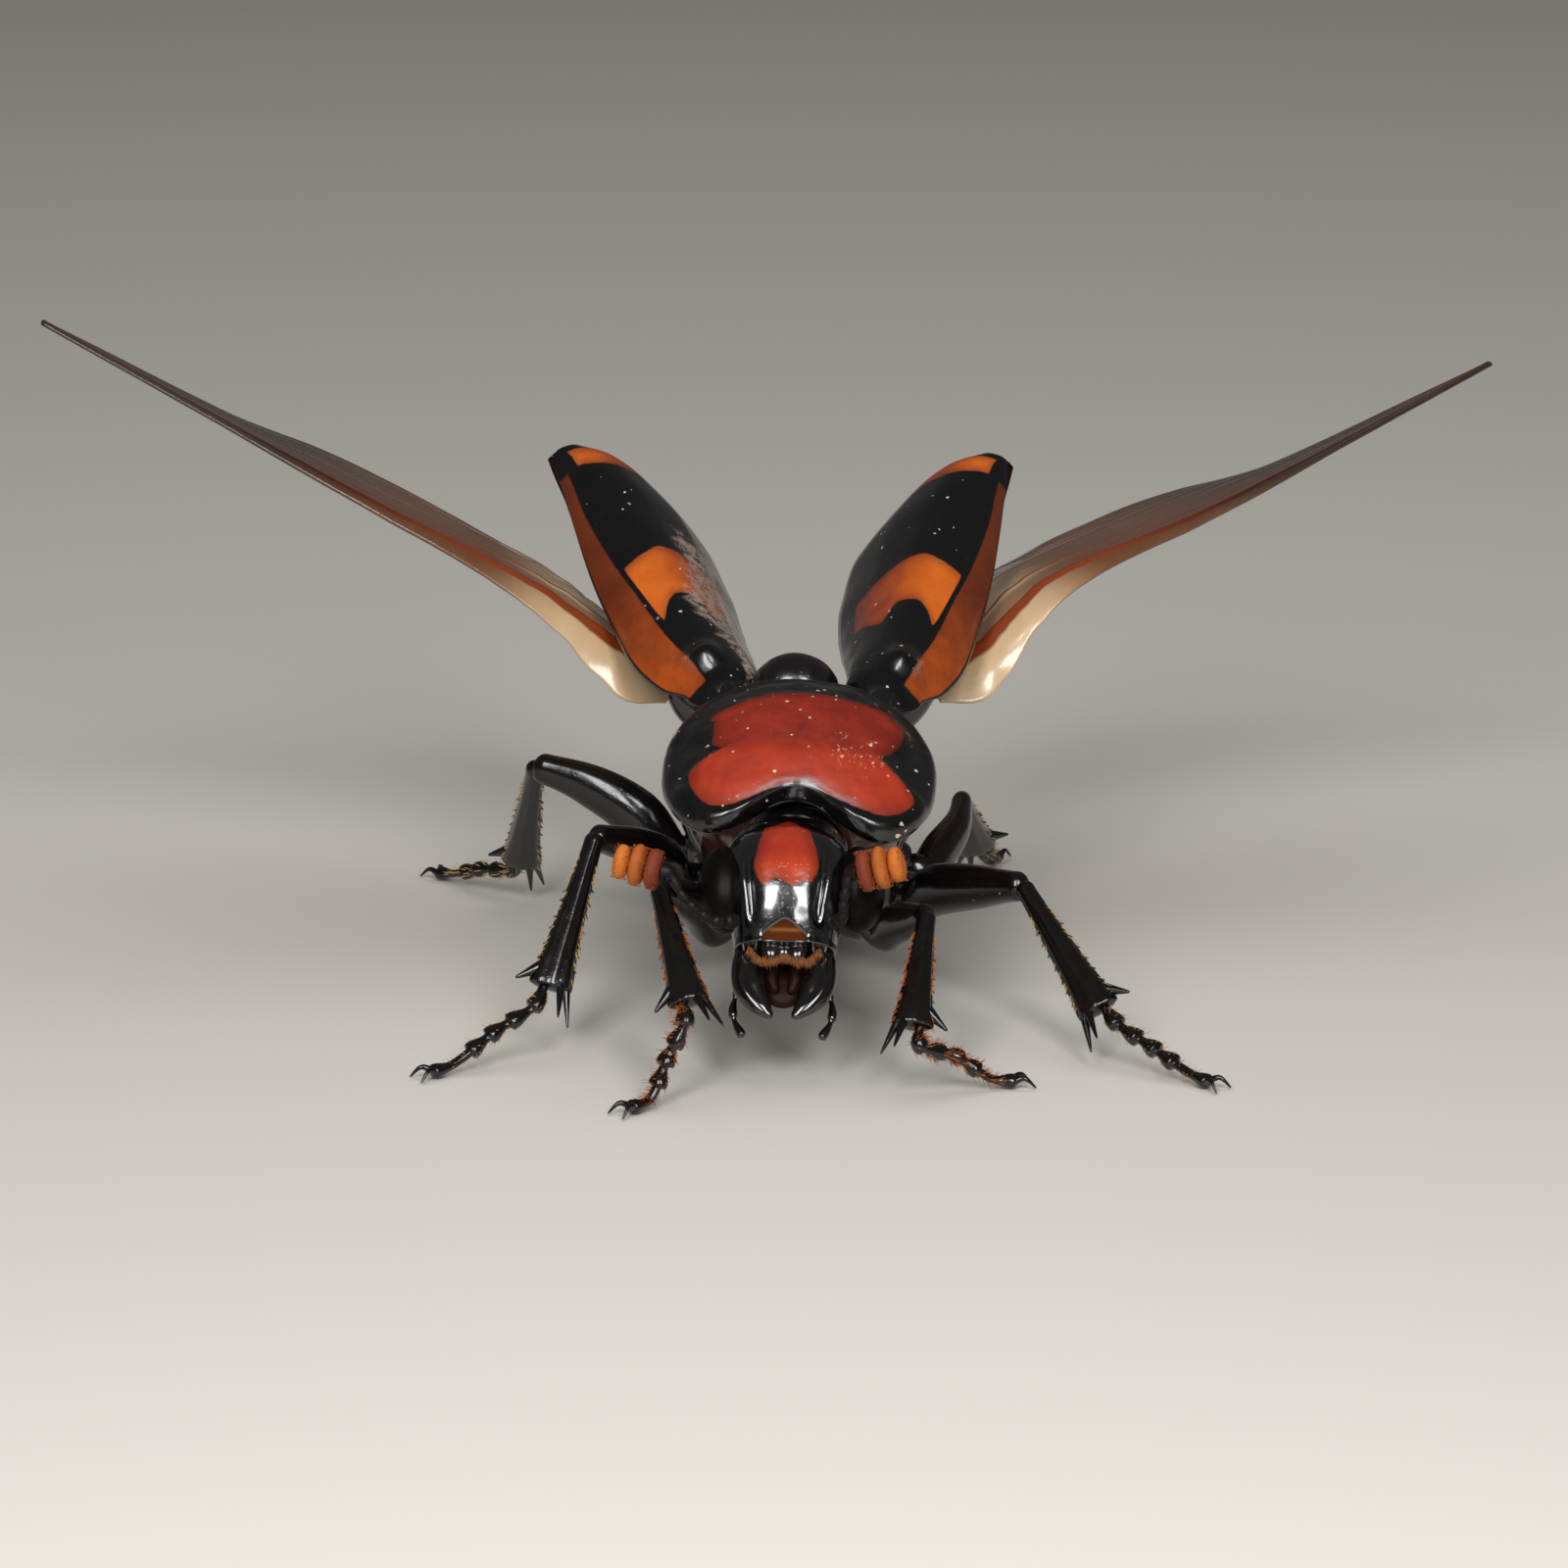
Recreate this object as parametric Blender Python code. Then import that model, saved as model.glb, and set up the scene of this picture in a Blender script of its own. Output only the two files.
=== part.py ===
# American burying beetle, life size, standing with its elytra raised and its hindwings spread.
#
# The head faces -Y, +Z is up and +X is the beetle's own left.
# Sizes and places are in millimetres, and each finished mesh is turned to metres by MM.

import math

import bmesh
import bpy
from mathutils import Matrix, Vector

MM = 0.001

# Meshing: how near two corners are before they merge, and how sharp an edge is shaded flat.
MERGE_DISTANCE = 0.0001
SHARP_ANGLE = math.radians(35.0)
TIP_ROUNDING = 0.6
SPIKE_TAPER = 0.75

# Clear space between two pieces that meet, and where the model's own frame has its origin.
GAP = 0.3
FRAME_ORIGIN = Vector((-0.78, 5.18, 0.0))

# Pronotum: a wide shield, pitched down over the neck.
SHIELD_CENTRE = Vector((0.1, -3.45, 12.5))
SHIELD_HALF_WIDTH = 5.8
SHIELD_HALF_BACK = 4.95
SHIELD_HALF_FRONT = 6.0
SHIELD_ROUNDNESS = 0.88
SHIELD_BACK_CORNER = 0.005
SHIELD_FRONT_CORNER = 0.03
SHIELD_RIM = 0.75
SHIELD_CROWN = 0.75
SHIELD_DROOP = 1.3
SHIELD_FRONT_DROP = 1.9
SHIELD_DROP_START = 0.6
SHIELD_NOTCH = 2.75
SHIELD_NOTCH_WIDTH = 2.7
SHIELD_CREASE = 0.22
SHIELD_CREASE_WIDTH = 0.45
SHIELD_CREASE_PLACE = 0.9
SHIELD_CREASE_BEND = 0.05
SHIELD_MARGIN_STEP = 0.2
SHIELD_SIDES = 40
SHIELD_PITCH = math.radians(20.5)
SHIELD_ROLL = math.radians(3.2)
SHIELD_YAW = math.radians(-3.0)

# Head: a capsule bent down from the neck, with its face towards -Y.
# Rows of (x, y, z, half the width, half the depth)
HEAD_ROWS = (
    (-0.3, -5.85, 8.5, 1.9, 1.45),
    (-0.36, -6.4, 8.48, 2.3, 1.6),
    (-0.42, -6.95, 8.42, 2.5, 1.72),
    (-0.47, -7.55, 8.26, 2.65, 1.9),
    (-0.5, -8.1, 8.08, 2.75, 2.08),
    (-0.53, -8.65, 7.55, 2.66, 2.1),
    (-0.55, -9.15, 6.98, 2.5, 2.03),
    (-0.57, -9.55, 6.5, 2.36, 1.88),
    (-0.58, -9.95, 6.03, 2.26, 1.66),
    (-0.6, -10.35, 5.55, 2.15, 1.4),
)
HEAD_SIDES = 28
BODY_SQUARENESS = 2.4
EYE_CENTRE = Vector((-0.32, -8.95, 7.6))
EYE_OUT = 2.75
EYE_RADII = Vector((1.15, 1.45, 1.85))
EYE_LEAN = math.radians(-32.0)

# Elytra and hindwings: how thick they are, and how high the main veins stand.
ELYTRON_THICKNESS = 0.55
WING_THICKNESS = 0.5
VEIN_HEIGHT = 0.22

COLOURS = {
    "black": ((0.012, 0.011, 0.012), 0.25),
    "orange_red": ((0.48, 0.06, 0.02), 0.3),
    "orange": ((0.75, 0.22, 0.03), 0.45),
    "eye": ((0.015, 0.01, 0.008), 0.12),
    "brown": ((0.16, 0.05, 0.025), 0.35),
    "tan": ((0.5, 0.28, 0.12), 0.4),
}


def clear_scene():
    for thing in list(bpy.data.objects):
        bpy.data.objects.remove(thing, do_unlink=True)


def material(name, colour):
    made = bpy.data.materials.new(name)
    made.use_nodes = True
    shader = made.node_tree.nodes["Principled BSDF"]
    tint, roughness = COLOURS[colour]
    shader.inputs["Base Color"].default_value = (*tint, 1.0)
    shader.inputs["Roughness"].default_value = roughness
    shader.inputs["Metallic"].default_value = 0.0
    return made


# Curves and profiles

def blend(stations, t):
    # Reads a smooth curve through rows of (t, value, value, ...).
    rows = [Vector(row) for row in stations]
    t = min(max(t, rows[0][0]), rows[-1][0])
    k = 0
    while k < len(rows) - 2 and t > rows[k + 1][0]:
        k += 1
    before = rows[max(k - 1, 0)]
    here = rows[k]
    after = rows[k + 1]
    beyond = rows[min(k + 2, len(rows) - 1)]
    span = after[0] - here[0]
    f = (t - here[0]) / span
    slope_in = (after - before) * (span / (after[0] - before[0]))
    slope_out = (beyond - here) * (span / (beyond[0] - here[0]))
    h1 = 2 * f ** 3 - 3 * f ** 2 + 1
    h2 = f ** 3 - 2 * f ** 2 + f
    h3 = f ** 3 - f ** 2
    mixed = here * h1 + slope_in * h2 + slope_out * h3 + after * (1 - h1)
    return [mixed[i] for i in range(1, len(mixed))]


def curve_through(points, count):
    # Points at even steps of the smooth curve that passes through the given ones.
    places = [Vector(p) for p in points]
    run = [0.0]
    for a, b in zip(places, places[1:]):
        run.append(run[-1] + (b - a).length)
    stations = [(r, p.x, p.y, p.z) for r, p in zip(run, places)]
    return [Vector(blend(stations, run[-1] * k / (count - 1))) for k in range(count)]


def signed_power(value, power):
    return math.copysign(abs(value) ** power, value)


def oval(centre, across, along, half_across, half_along, sides, squareness=2.0):
    ring = []
    for i in range(sides):
        angle = 2 * math.pi * i / sides
        a = half_across * signed_power(math.cos(angle), 2 / squareness)
        b = half_along * signed_power(math.sin(angle), 2 / squareness)
        ring.append(centre + across * a + along * b)
    return ring


# Solids

def loft(rings, start_pole=None, end_pole=None, thin=False):
    # Closes a skin over a row of rings. On a thin vane both faces are split alike.
    bm = bmesh.new()
    rows = [[bm.verts.new(p) for p in ring] for ring in rings]
    sides = len(rows[0])
    for low, high in zip(rows, rows[1:]):
        for i in range(sides):
            j = (i + 1) % sides
            if not thin:
                bm.faces.new((low[i], low[j], high[j], high[i]))
            elif i < sides // 2:
                bm.faces.new((low[i], low[j], high[j]))
                bm.faces.new((low[i], high[j], high[i]))
            else:
                bm.faces.new((low[i], low[j], high[i]))
                bm.faces.new((low[j], high[j], high[i]))
    for row, pole in ((rows[0], start_pole), (rows[-1], end_pole)):
        if pole is not None:
            tip = bm.verts.new(pole)
            for i in range(sides):
                bm.faces.new((row[i], row[(i + 1) % sides], tip))
        elif thin:
            for i in range(sides // 2 - 1):
                j = sides - 1 - i
                bm.faces.new((row[i], row[i + 1], row[j - 1]))
                bm.faces.new((row[i], row[j - 1], row[j]))
        else:
            bm.faces.new(row)
    bmesh.ops.recalc_face_normals(bm, faces=bm.faces)
    return bm


def tube(points, sizes, sides, broad, start_normal=None, end_normal=None, tips=(False, False)):
    # A limb along a path. Each size is half the breadth along broad and half the depth.
    rings = []
    last = len(points) - 1
    for k, point in enumerate(points):
        ahead = points[min(k + 1, last)] - points[max(k - 1, 0)]
        ahead.normalize()
        across = (broad - ahead * broad.dot(ahead)).normalized()
        along = ahead.cross(across)
        ring = oval(point, across, along, sizes[k][0], sizes[k][1], sides)
        normal = start_normal if k == 0 else end_normal if k == last else None
        if normal is not None:
            ring = [p - ahead * ((p - point).dot(normal) / ahead.dot(normal)) for p in ring]
        rings.append(ring)
    ends = [None, None]
    if tips[0]:
        ends[0] = points[0] + (points[0] - points[1]).normalized() * min(sizes[0]) * TIP_ROUNDING
    if tips[1]:
        ends[1] = points[-1] + (points[-1] - points[-2]).normalized() * min(sizes[-1]) * TIP_ROUNDING
    return loft(rings, ends[0], ends[1])


def ball(centre, radii, sides=14, rows=9, turn=None):
    bm = bmesh.new()
    bmesh.ops.create_uvsphere(bm, u_segments=sides, v_segments=rows, radius=1.0)
    bmesh.ops.scale(bm, vec=radii, verts=bm.verts)
    if turn is not None:
        bmesh.ops.transform(bm, matrix=turn.to_4x4(), verts=bm.verts)
    bmesh.ops.translate(bm, vec=centre, verts=bm.verts)
    return bm


def boss(inner, outer, inner_radius, outer_radius, sides=12, end_normal=None):
    # A stump that grows out of a body and ends in a flat face, square to its axis or to end_normal.
    axis = (outer - inner).normalized()
    across = axis.orthogonal().normalized()
    along = axis.cross(across)
    middle = inner.lerp(outer, 0.6)
    rings = [
        oval(inner, across, along, inner_radius, inner_radius, sides),
        oval(middle, across, along, inner_radius, inner_radius, sides),
        oval(outer, across, along, outer_radius, outer_radius, sides),
    ]
    if end_normal is not None:
        slant = axis.dot(end_normal)
        rings[-1] = [p - axis * ((p - outer).dot(end_normal) / slant) for p in rings[-1]]
    return loft(rings)


def spike(base, tip, radius, bend=None, steps=2, sides=5):
    # A tapered tooth, spur or claw, rooted a little behind its base.
    axis = (tip - base).normalized()
    across = axis.orthogonal().normalized()
    along = axis.cross(across)
    rings = []
    for k in range(steps):
        f = k / steps
        centre = base.lerp(tip, f)
        if bend is not None:
            centre = centre + bend * math.sin(math.pi * f)
        here = radius * (1 - SPIKE_TAPER * f)
        rings.append(oval(centre, across, along, here, here, sides))
    return loft(rings, None, tip)


# Objects

def scratch_object(bm, name):
    mesh = bpy.data.meshes.new(name)
    bm.to_mesh(mesh)
    bm.free()
    thing = bpy.data.objects.new(name, mesh)
    bpy.context.scene.collection.objects.link(thing)
    return thing


def evaluated(thing):
    bpy.context.view_layer.update()
    graph = bpy.context.evaluated_depsgraph_get()
    bm = bmesh.new()
    bm.from_mesh(thing.evaluated_get(graph).to_mesh())
    return bm


def keep_largest(bm):
    # Keeps the closed surface that spans the most space, and drops what fusing left beside it.
    unseen = set(bm.faces)
    shells = []
    while unseen:
        stack = [unseen.pop()]
        shell = set(stack)
        while stack:
            for edge in stack.pop().edges:
                for face in edge.link_faces:
                    if face in unseen:
                        unseen.discard(face)
                        shell.add(face)
                        stack.append(face)
        shells.append(shell)
    shells.sort(key=shell_size)
    for shell in shells[:-1]:
        bmesh.ops.delete(bm, geom=list(shell), context='FACES')


def shell_size(shell):
    corners = [vert.co for face in shell for vert in face.verts]
    size = 1.0
    for axis in range(3):
        values = [corner[axis] for corner in corners]
        size *= max(values) - min(values)
    return size


def combine(pieces, operation):
    base = scratch_object(pieces[0], "base")
    group = bpy.data.collections.new("others")
    bpy.context.scene.collection.children.link(group)
    for piece in pieces[1:]:
        thing = scratch_object(piece, "other")
        bpy.context.scene.collection.objects.unlink(thing)
        group.objects.link(thing)
    modifier = base.modifiers.new("combine", 'BOOLEAN')
    modifier.operation = operation
    modifier.operand_type = 'COLLECTION'
    modifier.collection = group
    modifier.solver = 'EXACT'
    bm = evaluated(base)
    for thing in list(group.objects):
        bpy.data.objects.remove(thing, do_unlink=True)
    bpy.data.objects.remove(base, do_unlink=True)
    bpy.data.collections.remove(group)
    bmesh.ops.remove_doubles(bm, verts=bm.verts, dist=MERGE_DISTANCE)
    bmesh.ops.dissolve_degenerate(bm, edges=bm.edges, dist=MERGE_DISTANCE)
    keep_largest(bm)
    return bm


def fuse(pieces):
    return combine(pieces, 'UNION')


def cut_floor(bm):
    # Leaves small flats at the level of the floor.
    geometry = list(bm.verts) + list(bm.edges) + list(bm.faces)
    bmesh.ops.bisect_plane(
        bm, geom=geometry, plane_co=(0, 0, 0), plane_no=(0, 0, -1), clear_outer=True, dist=MERGE_DISTANCE
    )
    rim = [edge for edge in bm.edges if edge.is_boundary]
    bmesh.ops.holes_fill(bm, edges=rim, sides=0)


def finish(name, bm, colour):
    bmesh.ops.triangulate(bm, faces=bm.faces)
    bmesh.ops.recalc_face_normals(bm, faces=bm.faces)
    bmesh.ops.translate(bm, vec=-FRAME_ORIGIN, verts=bm.verts)
    bmesh.ops.scale(bm, vec=(MM, MM, MM), verts=bm.verts)
    mesh = bpy.data.meshes.new(name)
    bm.to_mesh(mesh)
    bm.free()
    mesh.shade_smooth()
    mesh.set_sharp_from_angle(angle=SHARP_ANGLE)
    mesh.materials.append(material(name, colour))
    thing = bpy.data.objects.new(name, mesh)
    bpy.context.scene.collection.objects.link(thing)
    return thing


# Trunk: rows of (y, half width, top, bottom)

PROTHORAX = (
    (-5.3, 2.3, 10.2, 6.4),
    (-3.6, 3.6, 11.1, 4.9),
    (-1.0, 4.3, 11.9, 4.3),
    (1.15, 3.7, 12.6, 4.7),
)
MESOTHORAX = ((1.6, 3.7, 12.9, 4.7), (3.2, 4.6, 13.2, 4.0), (5.0, 5.0, 12.5, 3.6))
METATHORAX = ((5.3, 5.1, 12.4, 3.5), (8.0, 5.4, 11.5, 3.0), (11.2, 5.2, 10.6, 2.7))
ABDOMEN = (
    (11.5, 5.15, 10.5, 2.6),
    (15.0, 5.4, 9.5, 2.0),
    (19.0, 4.9, 8.1, 1.4),
    (22.5, 3.5, 6.6, 1.3),
    (24.6, 1.5, 5.2, 1.9),
)
ABDOMEN_RINGS = 6
ABDOMEN_STEP = 0.16
TRUNK_SIDES = 32
TRUNK_SQUARENESS = 2.3

# The black dome between the elytra, and the stumps that carry the elytra and the hindwings.
SCUTELLUM_CENTRE = Vector((-0.15, 3.6, 12.8))
SCUTELLUM_RADII = (1.95, 1.5, 1.85)
HINGE_LENGTH = 2.4
HINGE_RADIUS = 0.85
HINGE_END_RADIUS = 0.68
WING_ROOT_RADIUS = 0.95
WING_ROOT_END_RADIUS = 0.75


def trunk_ring(stations, y, swell=0.0):
    half_width, top, bottom = blend(stations, y)
    centre = Vector((0.0, y, (top + bottom) / 2))
    return oval(
        centre, Vector((1, 0, 0)), Vector((0, 0, 1)),
        half_width + swell, (top - bottom) / 2 + swell, TRUNK_SIDES, TRUNK_SQUARENESS,
    )


def trunk(stations, steps):
    first = stations[0][0]
    last = stations[-1][0]
    return loft([trunk_ring(stations, first + (last - first) * k / steps) for k in range(steps + 1)])


def make_prothorax():
    body = trunk(PROTHORAX, 4)
    coxae = [coxa(leg) for leg in ("front_right", "front_left")]
    finish("prosternum", fuse([body] + coxae), "black")


def make_mesothorax():
    body = trunk(MESOTHORAX, 3)
    scutellum = ball(SCUTELLUM_CENTRE, SCUTELLUM_RADII, 18, 10)
    coxae = [coxa(leg) for leg in ("middle_right", "middle_left")]
    hinges = []
    for side in ELYTRA:
        foot, ahead = elytron_foot(side)
        inner = foot - ahead * HINGE_LENGTH
        hinges.append(boss(inner, foot - ahead * GAP, HINGE_RADIUS, HINGE_END_RADIUS))
    finish("mesothorax", fuse([body, scutellum] + coxae + hinges), "black")


def make_metathorax():
    body = trunk(METATHORAX, 4)
    coxae = [coxa(leg) for leg in ("hind_right", "hind_left")]
    roots = []
    for side in WINGS:
        foot, out = wing_foot(side)
        joint = Vector(WINGS[side]["joint"])
        roots.append(boss(joint, foot - out * GAP, WING_ROOT_RADIUS, WING_ROOT_END_RADIUS, 12, out))
    finish("metathorax", fuse([body] + coxae + roots), "black")


def make_abdomen():
    first = ABDOMEN[0][0]
    last = ABDOMEN[-1][0]
    step = (last - first) / ABDOMEN_RINGS
    rings = []
    for k in range(ABDOMEN_RINGS):
        start = first + k * step
        inset = 0.0 if k == 0 else -ABDOMEN_STEP
        rings.append(trunk_ring(ABDOMEN, start + 0.02, inset))
        rings.append(trunk_ring(ABDOMEN, start + step * 0.35, 0.02))
        rings.append(trunk_ring(ABDOMEN, start + step * 0.94, 0.05))
    tip = Vector((0.0, last + 0.4, (ABDOMEN[-1][2] + ABDOMEN[-1][3]) / 2))
    finish("abdomen", loft(rings, None, tip), "black")


# Pronotum

def shield_point(reach, angle, upper):
    across = signed_power(math.cos(angle), SHIELD_ROUNDNESS)
    along = signed_power(math.sin(angle), SHIELD_ROUNDNESS)
    half = SHIELD_HALF_BACK if along > 0 else SHIELD_HALF_FRONT
    corner = SHIELD_BACK_CORNER if along > 0 else SHIELD_FRONT_CORNER
    reach_here = reach * (1 + corner * (2 * across * along) ** 2)
    x = SHIELD_HALF_WIDTH * reach_here * across
    y = half * reach_here * along
    if along < 0:
        y += SHIELD_NOTCH * math.exp(-(x / SHIELD_NOTCH_WIDTH) ** 2) * reach ** 2 * along ** 2
    z = -SHIELD_DROOP * (x / SHIELD_HALF_WIDTH) ** 2
    z -= SHIELD_FRONT_DROP * max(0.0, -y / SHIELD_HALF_BACK - SHIELD_DROP_START) ** 1.5
    if not upper:
        return Vector((x, y, z - SHIELD_RIM))
    z += SHIELD_CROWN * (1 - reach ** 2.4)
    crease = y + SHIELD_CREASE_PLACE - SHIELD_CREASE_BEND * x * x
    z -= SHIELD_CREASE * math.exp(-(crease / SHIELD_CREASE_WIDTH) ** 2) * (1 - reach ** 4)
    if 0.8 < reach < 0.97:
        z -= SHIELD_MARGIN_STEP
    return Vector((x, y, z))


def make_pronotum():
    turn = Matrix.Rotation(SHIELD_YAW, 3, 'Z') @ Matrix.Rotation(SHIELD_PITCH, 3, 'X')
    turn = turn @ Matrix.Rotation(SHIELD_ROLL, 3, 'Y')
    layers = [(0.5, False), (0.96, False)]
    layers += [(reach, True) for reach in (1.0, 0.96, 0.88, 0.74, 0.58, 0.42, 0.27, 0.13)]
    rings = []
    for reach, upper in layers:
        ring = [shield_point(reach, 2 * math.pi * i / SHIELD_SIDES, upper) for i in range(SHIELD_SIDES)]
        if reach == 1.0:
            ring = [p - Vector((0, 0, SHIELD_RIM * 0.4)) for p in ring]
        rings.append([SHIELD_CENTRE + turn @ p for p in ring])
    under = SHIELD_CENTRE + turn @ shield_point(0.0, 0.0, False)
    over = SHIELD_CENTRE + turn @ shield_point(0.0, 0.0, True)
    finish("pronotum", loft(rings, under, over), "orange_red")


# Head

def head_axes(k):
    places = [Vector(row[:3]) for row in HEAD_ROWS]
    last = len(places) - 1
    ahead = (places[min(k + 1, last)] - places[max(k - 1, 0)]).normalized()
    side = (Vector((1, 0, 0)) - ahead * ahead.x).normalized()
    return places[k], ahead, side, side.cross(ahead).normalized()


def face_frame():
    # The plane of the mouth: its centre, the way down the face, its side and the way out of the face.
    places = [Vector(row[:3]) for row in HEAD_ROWS]
    down = (places[-1] - places[-2]).normalized()
    side = (Vector((1, 0, 0)) - down * down.x).normalized()
    out = down.cross(side).normalized()
    if out.y > 0:
        out = -out
    return places[-1], down, side, out


def eye_place(sign):
    centre = EYE_CENTRE + Vector((sign * EYE_OUT, 0, 0))
    turn = Matrix.Rotation(EYE_LEAN, 3, 'X')
    return centre, turn


def make_head():
    rings = []
    for k, (x, y, z, half_width, half_depth) in enumerate(HEAD_ROWS):
        place, ahead, side, out = head_axes(k)
        rings.append(oval(place, side, out, half_width, half_depth, HEAD_SIDES, BODY_SQUARENESS))
    capsule = loft(rings)
    cutters = []
    for sign in (-1, 1):
        centre, turn = eye_place(sign)
        cutters.append(ball(centre, EYE_RADII + Vector((GAP, GAP, GAP)), 18, 11, turn))
    finish("head", combine([capsule] + cutters, 'DIFFERENCE'), "black")
    for sign, side in ((-1, "right"), (1, "left")):
        centre, turn = eye_place(sign)
        finish("eye_" + side, ball(centre, EYE_RADII, 18, 11, turn), "eye")


# Mouth. The rows of the lips are (down the face, out of it, half width, half depth).
UPPER_LIP = ((0.0, 0.8, 0.95, 0.27), (0.45, 0.82, 1.0, 0.25), (0.8, 0.78, 0.85, 0.22))
LOWER_LIP = ((0.0, -1.35, 0.85, 0.4), (0.9, -1.3, 0.8, 0.4), (1.8, -1.2, 0.5, 0.32))

# The jaws and the palps: rows of (to the side, out of the face, down it)
JAW_PATH = (
    (1.4, -0.2, 0.0),
    (1.46, -0.15, 0.8),
    (1.34, -0.1, 1.6),
    (1.02, -0.05, 2.2),
    (0.68, 0.0, 2.65),
    (0.4, 0.0, 2.9),
)
PALP_PATH = (
    (1.4, -1.15, 0.0),
    (1.75, -1.2, 0.9),
    (2.05, -1.15, 1.9),
    (2.0, -1.1, 2.6),
    (1.6, -1.0, 3.4),
)

# Rows of (share of the length, half the breadth, half the depth)
JAW_SIZES = (
    (0.0, 0.6, 0.43),
    (0.25, 0.72, 0.45),
    (0.5, 0.72, 0.44),
    (0.75, 0.5, 0.36),
    (1.0, 0.16, 0.16),
)
PALP_RADII = (0.26, 0.28, 0.24, 0.28, 0.25, 0.2)


def make_mouth():
    centre, down, side, out = face_frame()
    start = centre + down * GAP
    for name, rows in (("labrum", UPPER_LIP), ("labium", LOWER_LIP)):
        lip = []
        for fall, lift, half_width, half_depth in rows:
            place = start + down * fall + out * lift
            lip.append(oval(place, side, out, half_width, half_depth, 14, 3.0))
        finish(name, loft(lip), "brown")
    for sign, name in ((-1, "right"), (1, "left")):
        path = [start + side * (sign * across) + out * lift + down * fall for across, lift, fall in JAW_PATH]
        places = curve_through(path, 10)
        sizes = [blend(JAW_SIZES, k / 9) for k in range(10)]
        finish("mandible_" + name, tube(places, sizes, 12, side, down, None, (False, True)), "black")
        path = [start + side * (sign * across) + out * lift + down * fall for across, lift, fall in PALP_PATH]
        sizes = [(radius, radius) for radius in PALP_RADII]
        places = curve_through(path, len(sizes))
        finish("palp_" + name, tube(places, sizes, 8, side, down, None, (False, True)), "brown")


# Antennae: the way of each stalk, then the axis of its club

ANTENNAE = {
    "right": {
        "stalk": ((-2.5, -11.3, 6.95), (-3.6, -11.95, 7.2), (-4.7, -12.25, 8.2), (-5.35, -12.05, 9.2)),
        "tip": (-7.6, -11.5, 9.6),
    },
    "left": {
        "stalk": ((1.25, -11.25, 6.9), (1.75, -12.2, 7.3), (1.85, -12.6, 8.3), (2.1, -12.45, 9.3)),
        "tip": (4.3, -12.9, 9.85),
    },
}
STALK_RADII = (0.36, 0.34, 0.3, 0.27, 0.26, 0.26, 0.27, 0.32)
STALK_END = (0.46, 0.4)

# The three leaves of a club: how wide each is, then how each rises and falls along its own length
CLUB_WIDTHS = (0.88, 0.9, 0.74)
CLUB_LEAF = ((0.02, 0.72), (0.25, 1.0), (0.8, 1.0), (0.98, 0.72))
CLUB_FLATNESS = 0.78


def make_antennae():
    for side, spec in ANTENNAE.items():
        sizes = [(radius, radius) for radius in STALK_RADII] + [STALK_END]
        stalk = curve_through(spec["stalk"], len(sizes))
        end = Vector(spec["tip"])
        axis = (end - stalk[-1]).normalized()
        start = stalk[-1] + axis * GAP
        finish("antenna_" + side, tube(stalk, sizes, 8, Vector((0, 1, 0)), None, axis), "black")
        rings = []
        across = (Vector((0, 0, 1)) - axis * axis.z).normalized()
        along = axis.cross(across)
        length = (end - start).length
        for k, width in enumerate(CLUB_WIDTHS):
            for f, size in CLUB_LEAF:
                place = start + axis * (length * (k + f) / len(CLUB_WIDTHS))
                rings.append(oval(place, across, along, width * size, width * size * CLUB_FLATNESS, 16))
        finish("antenna_club_" + side, loft(rings, None, end + axis * 0.12), "orange")


# Elytra

ELYTRA = {
    "right": {"ridge": (-3.91, 3.5, 13.63), "tip": (-10.6, 17.3, 20.65), "roll": 0.0},
    "left": {"ridge": (4.44, 3.5, 13.41), "tip": (9.12, 18.0, 20.12), "roll": -10.0},
}
CAMERA_WAY = Vector((0.0, -0.966, 0.259))

# Rows of (share of the length, width, top of the bulge, drop to the ridge, drop to the outer margin)
ELYTRON_ROWS = (
    (0.0, 1.6, 1.9, 0.0, 1.3),
    (0.08, 2.4, 2.0, 0.02, 2.05),
    (0.215, 3.9, 2.1, 0.3, 2.5),
    (0.39, 5.4, 2.4, 0.46, 2.33),
    (0.54, 6.0, 2.74, 0.64, 2.03),
    (0.73, 6.0, 3.0, 0.62, 1.42),
    (0.86, 5.0, 2.67, 0.35, 0.97),
    (0.95, 3.4, 2.08, 0.22, 0.7),
    (1.0, 1.6, 1.0, 0.15, 0.4),
)
ELYTRON_ARC = 10
ELYTRON_STEPS = 22
ELYTRON_CURL = 0.3


def elytron_axes(side):
    spec = ELYTRA[side]
    base = Vector(spec["ridge"])
    tip = Vector(spec["tip"])
    ahead = (tip - base).normalized()
    out = (CAMERA_WAY - ahead * CAMERA_WAY.dot(ahead)).normalized()
    up = out.cross(ahead)
    if up.x * base.x > 0:
        up = -up
    roll = math.radians(spec["roll"])
    rolled_out = out * math.cos(roll) + up * math.sin(roll)
    rolled_up = up * math.cos(roll) - out * math.sin(roll)
    return base, ahead, rolled_out, rolled_up, (tip - base).length


def elytron_foot(side):
    # The middle of the elytron's base face and the way that it runs from there.
    base, ahead, out, up, length = elytron_axes(side)
    width, bulge, ridge, margin = blend(ELYTRON_ROWS, 0.0)
    return base - out * (width * 0.4) + up * (bulge * 0.18), ahead


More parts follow.
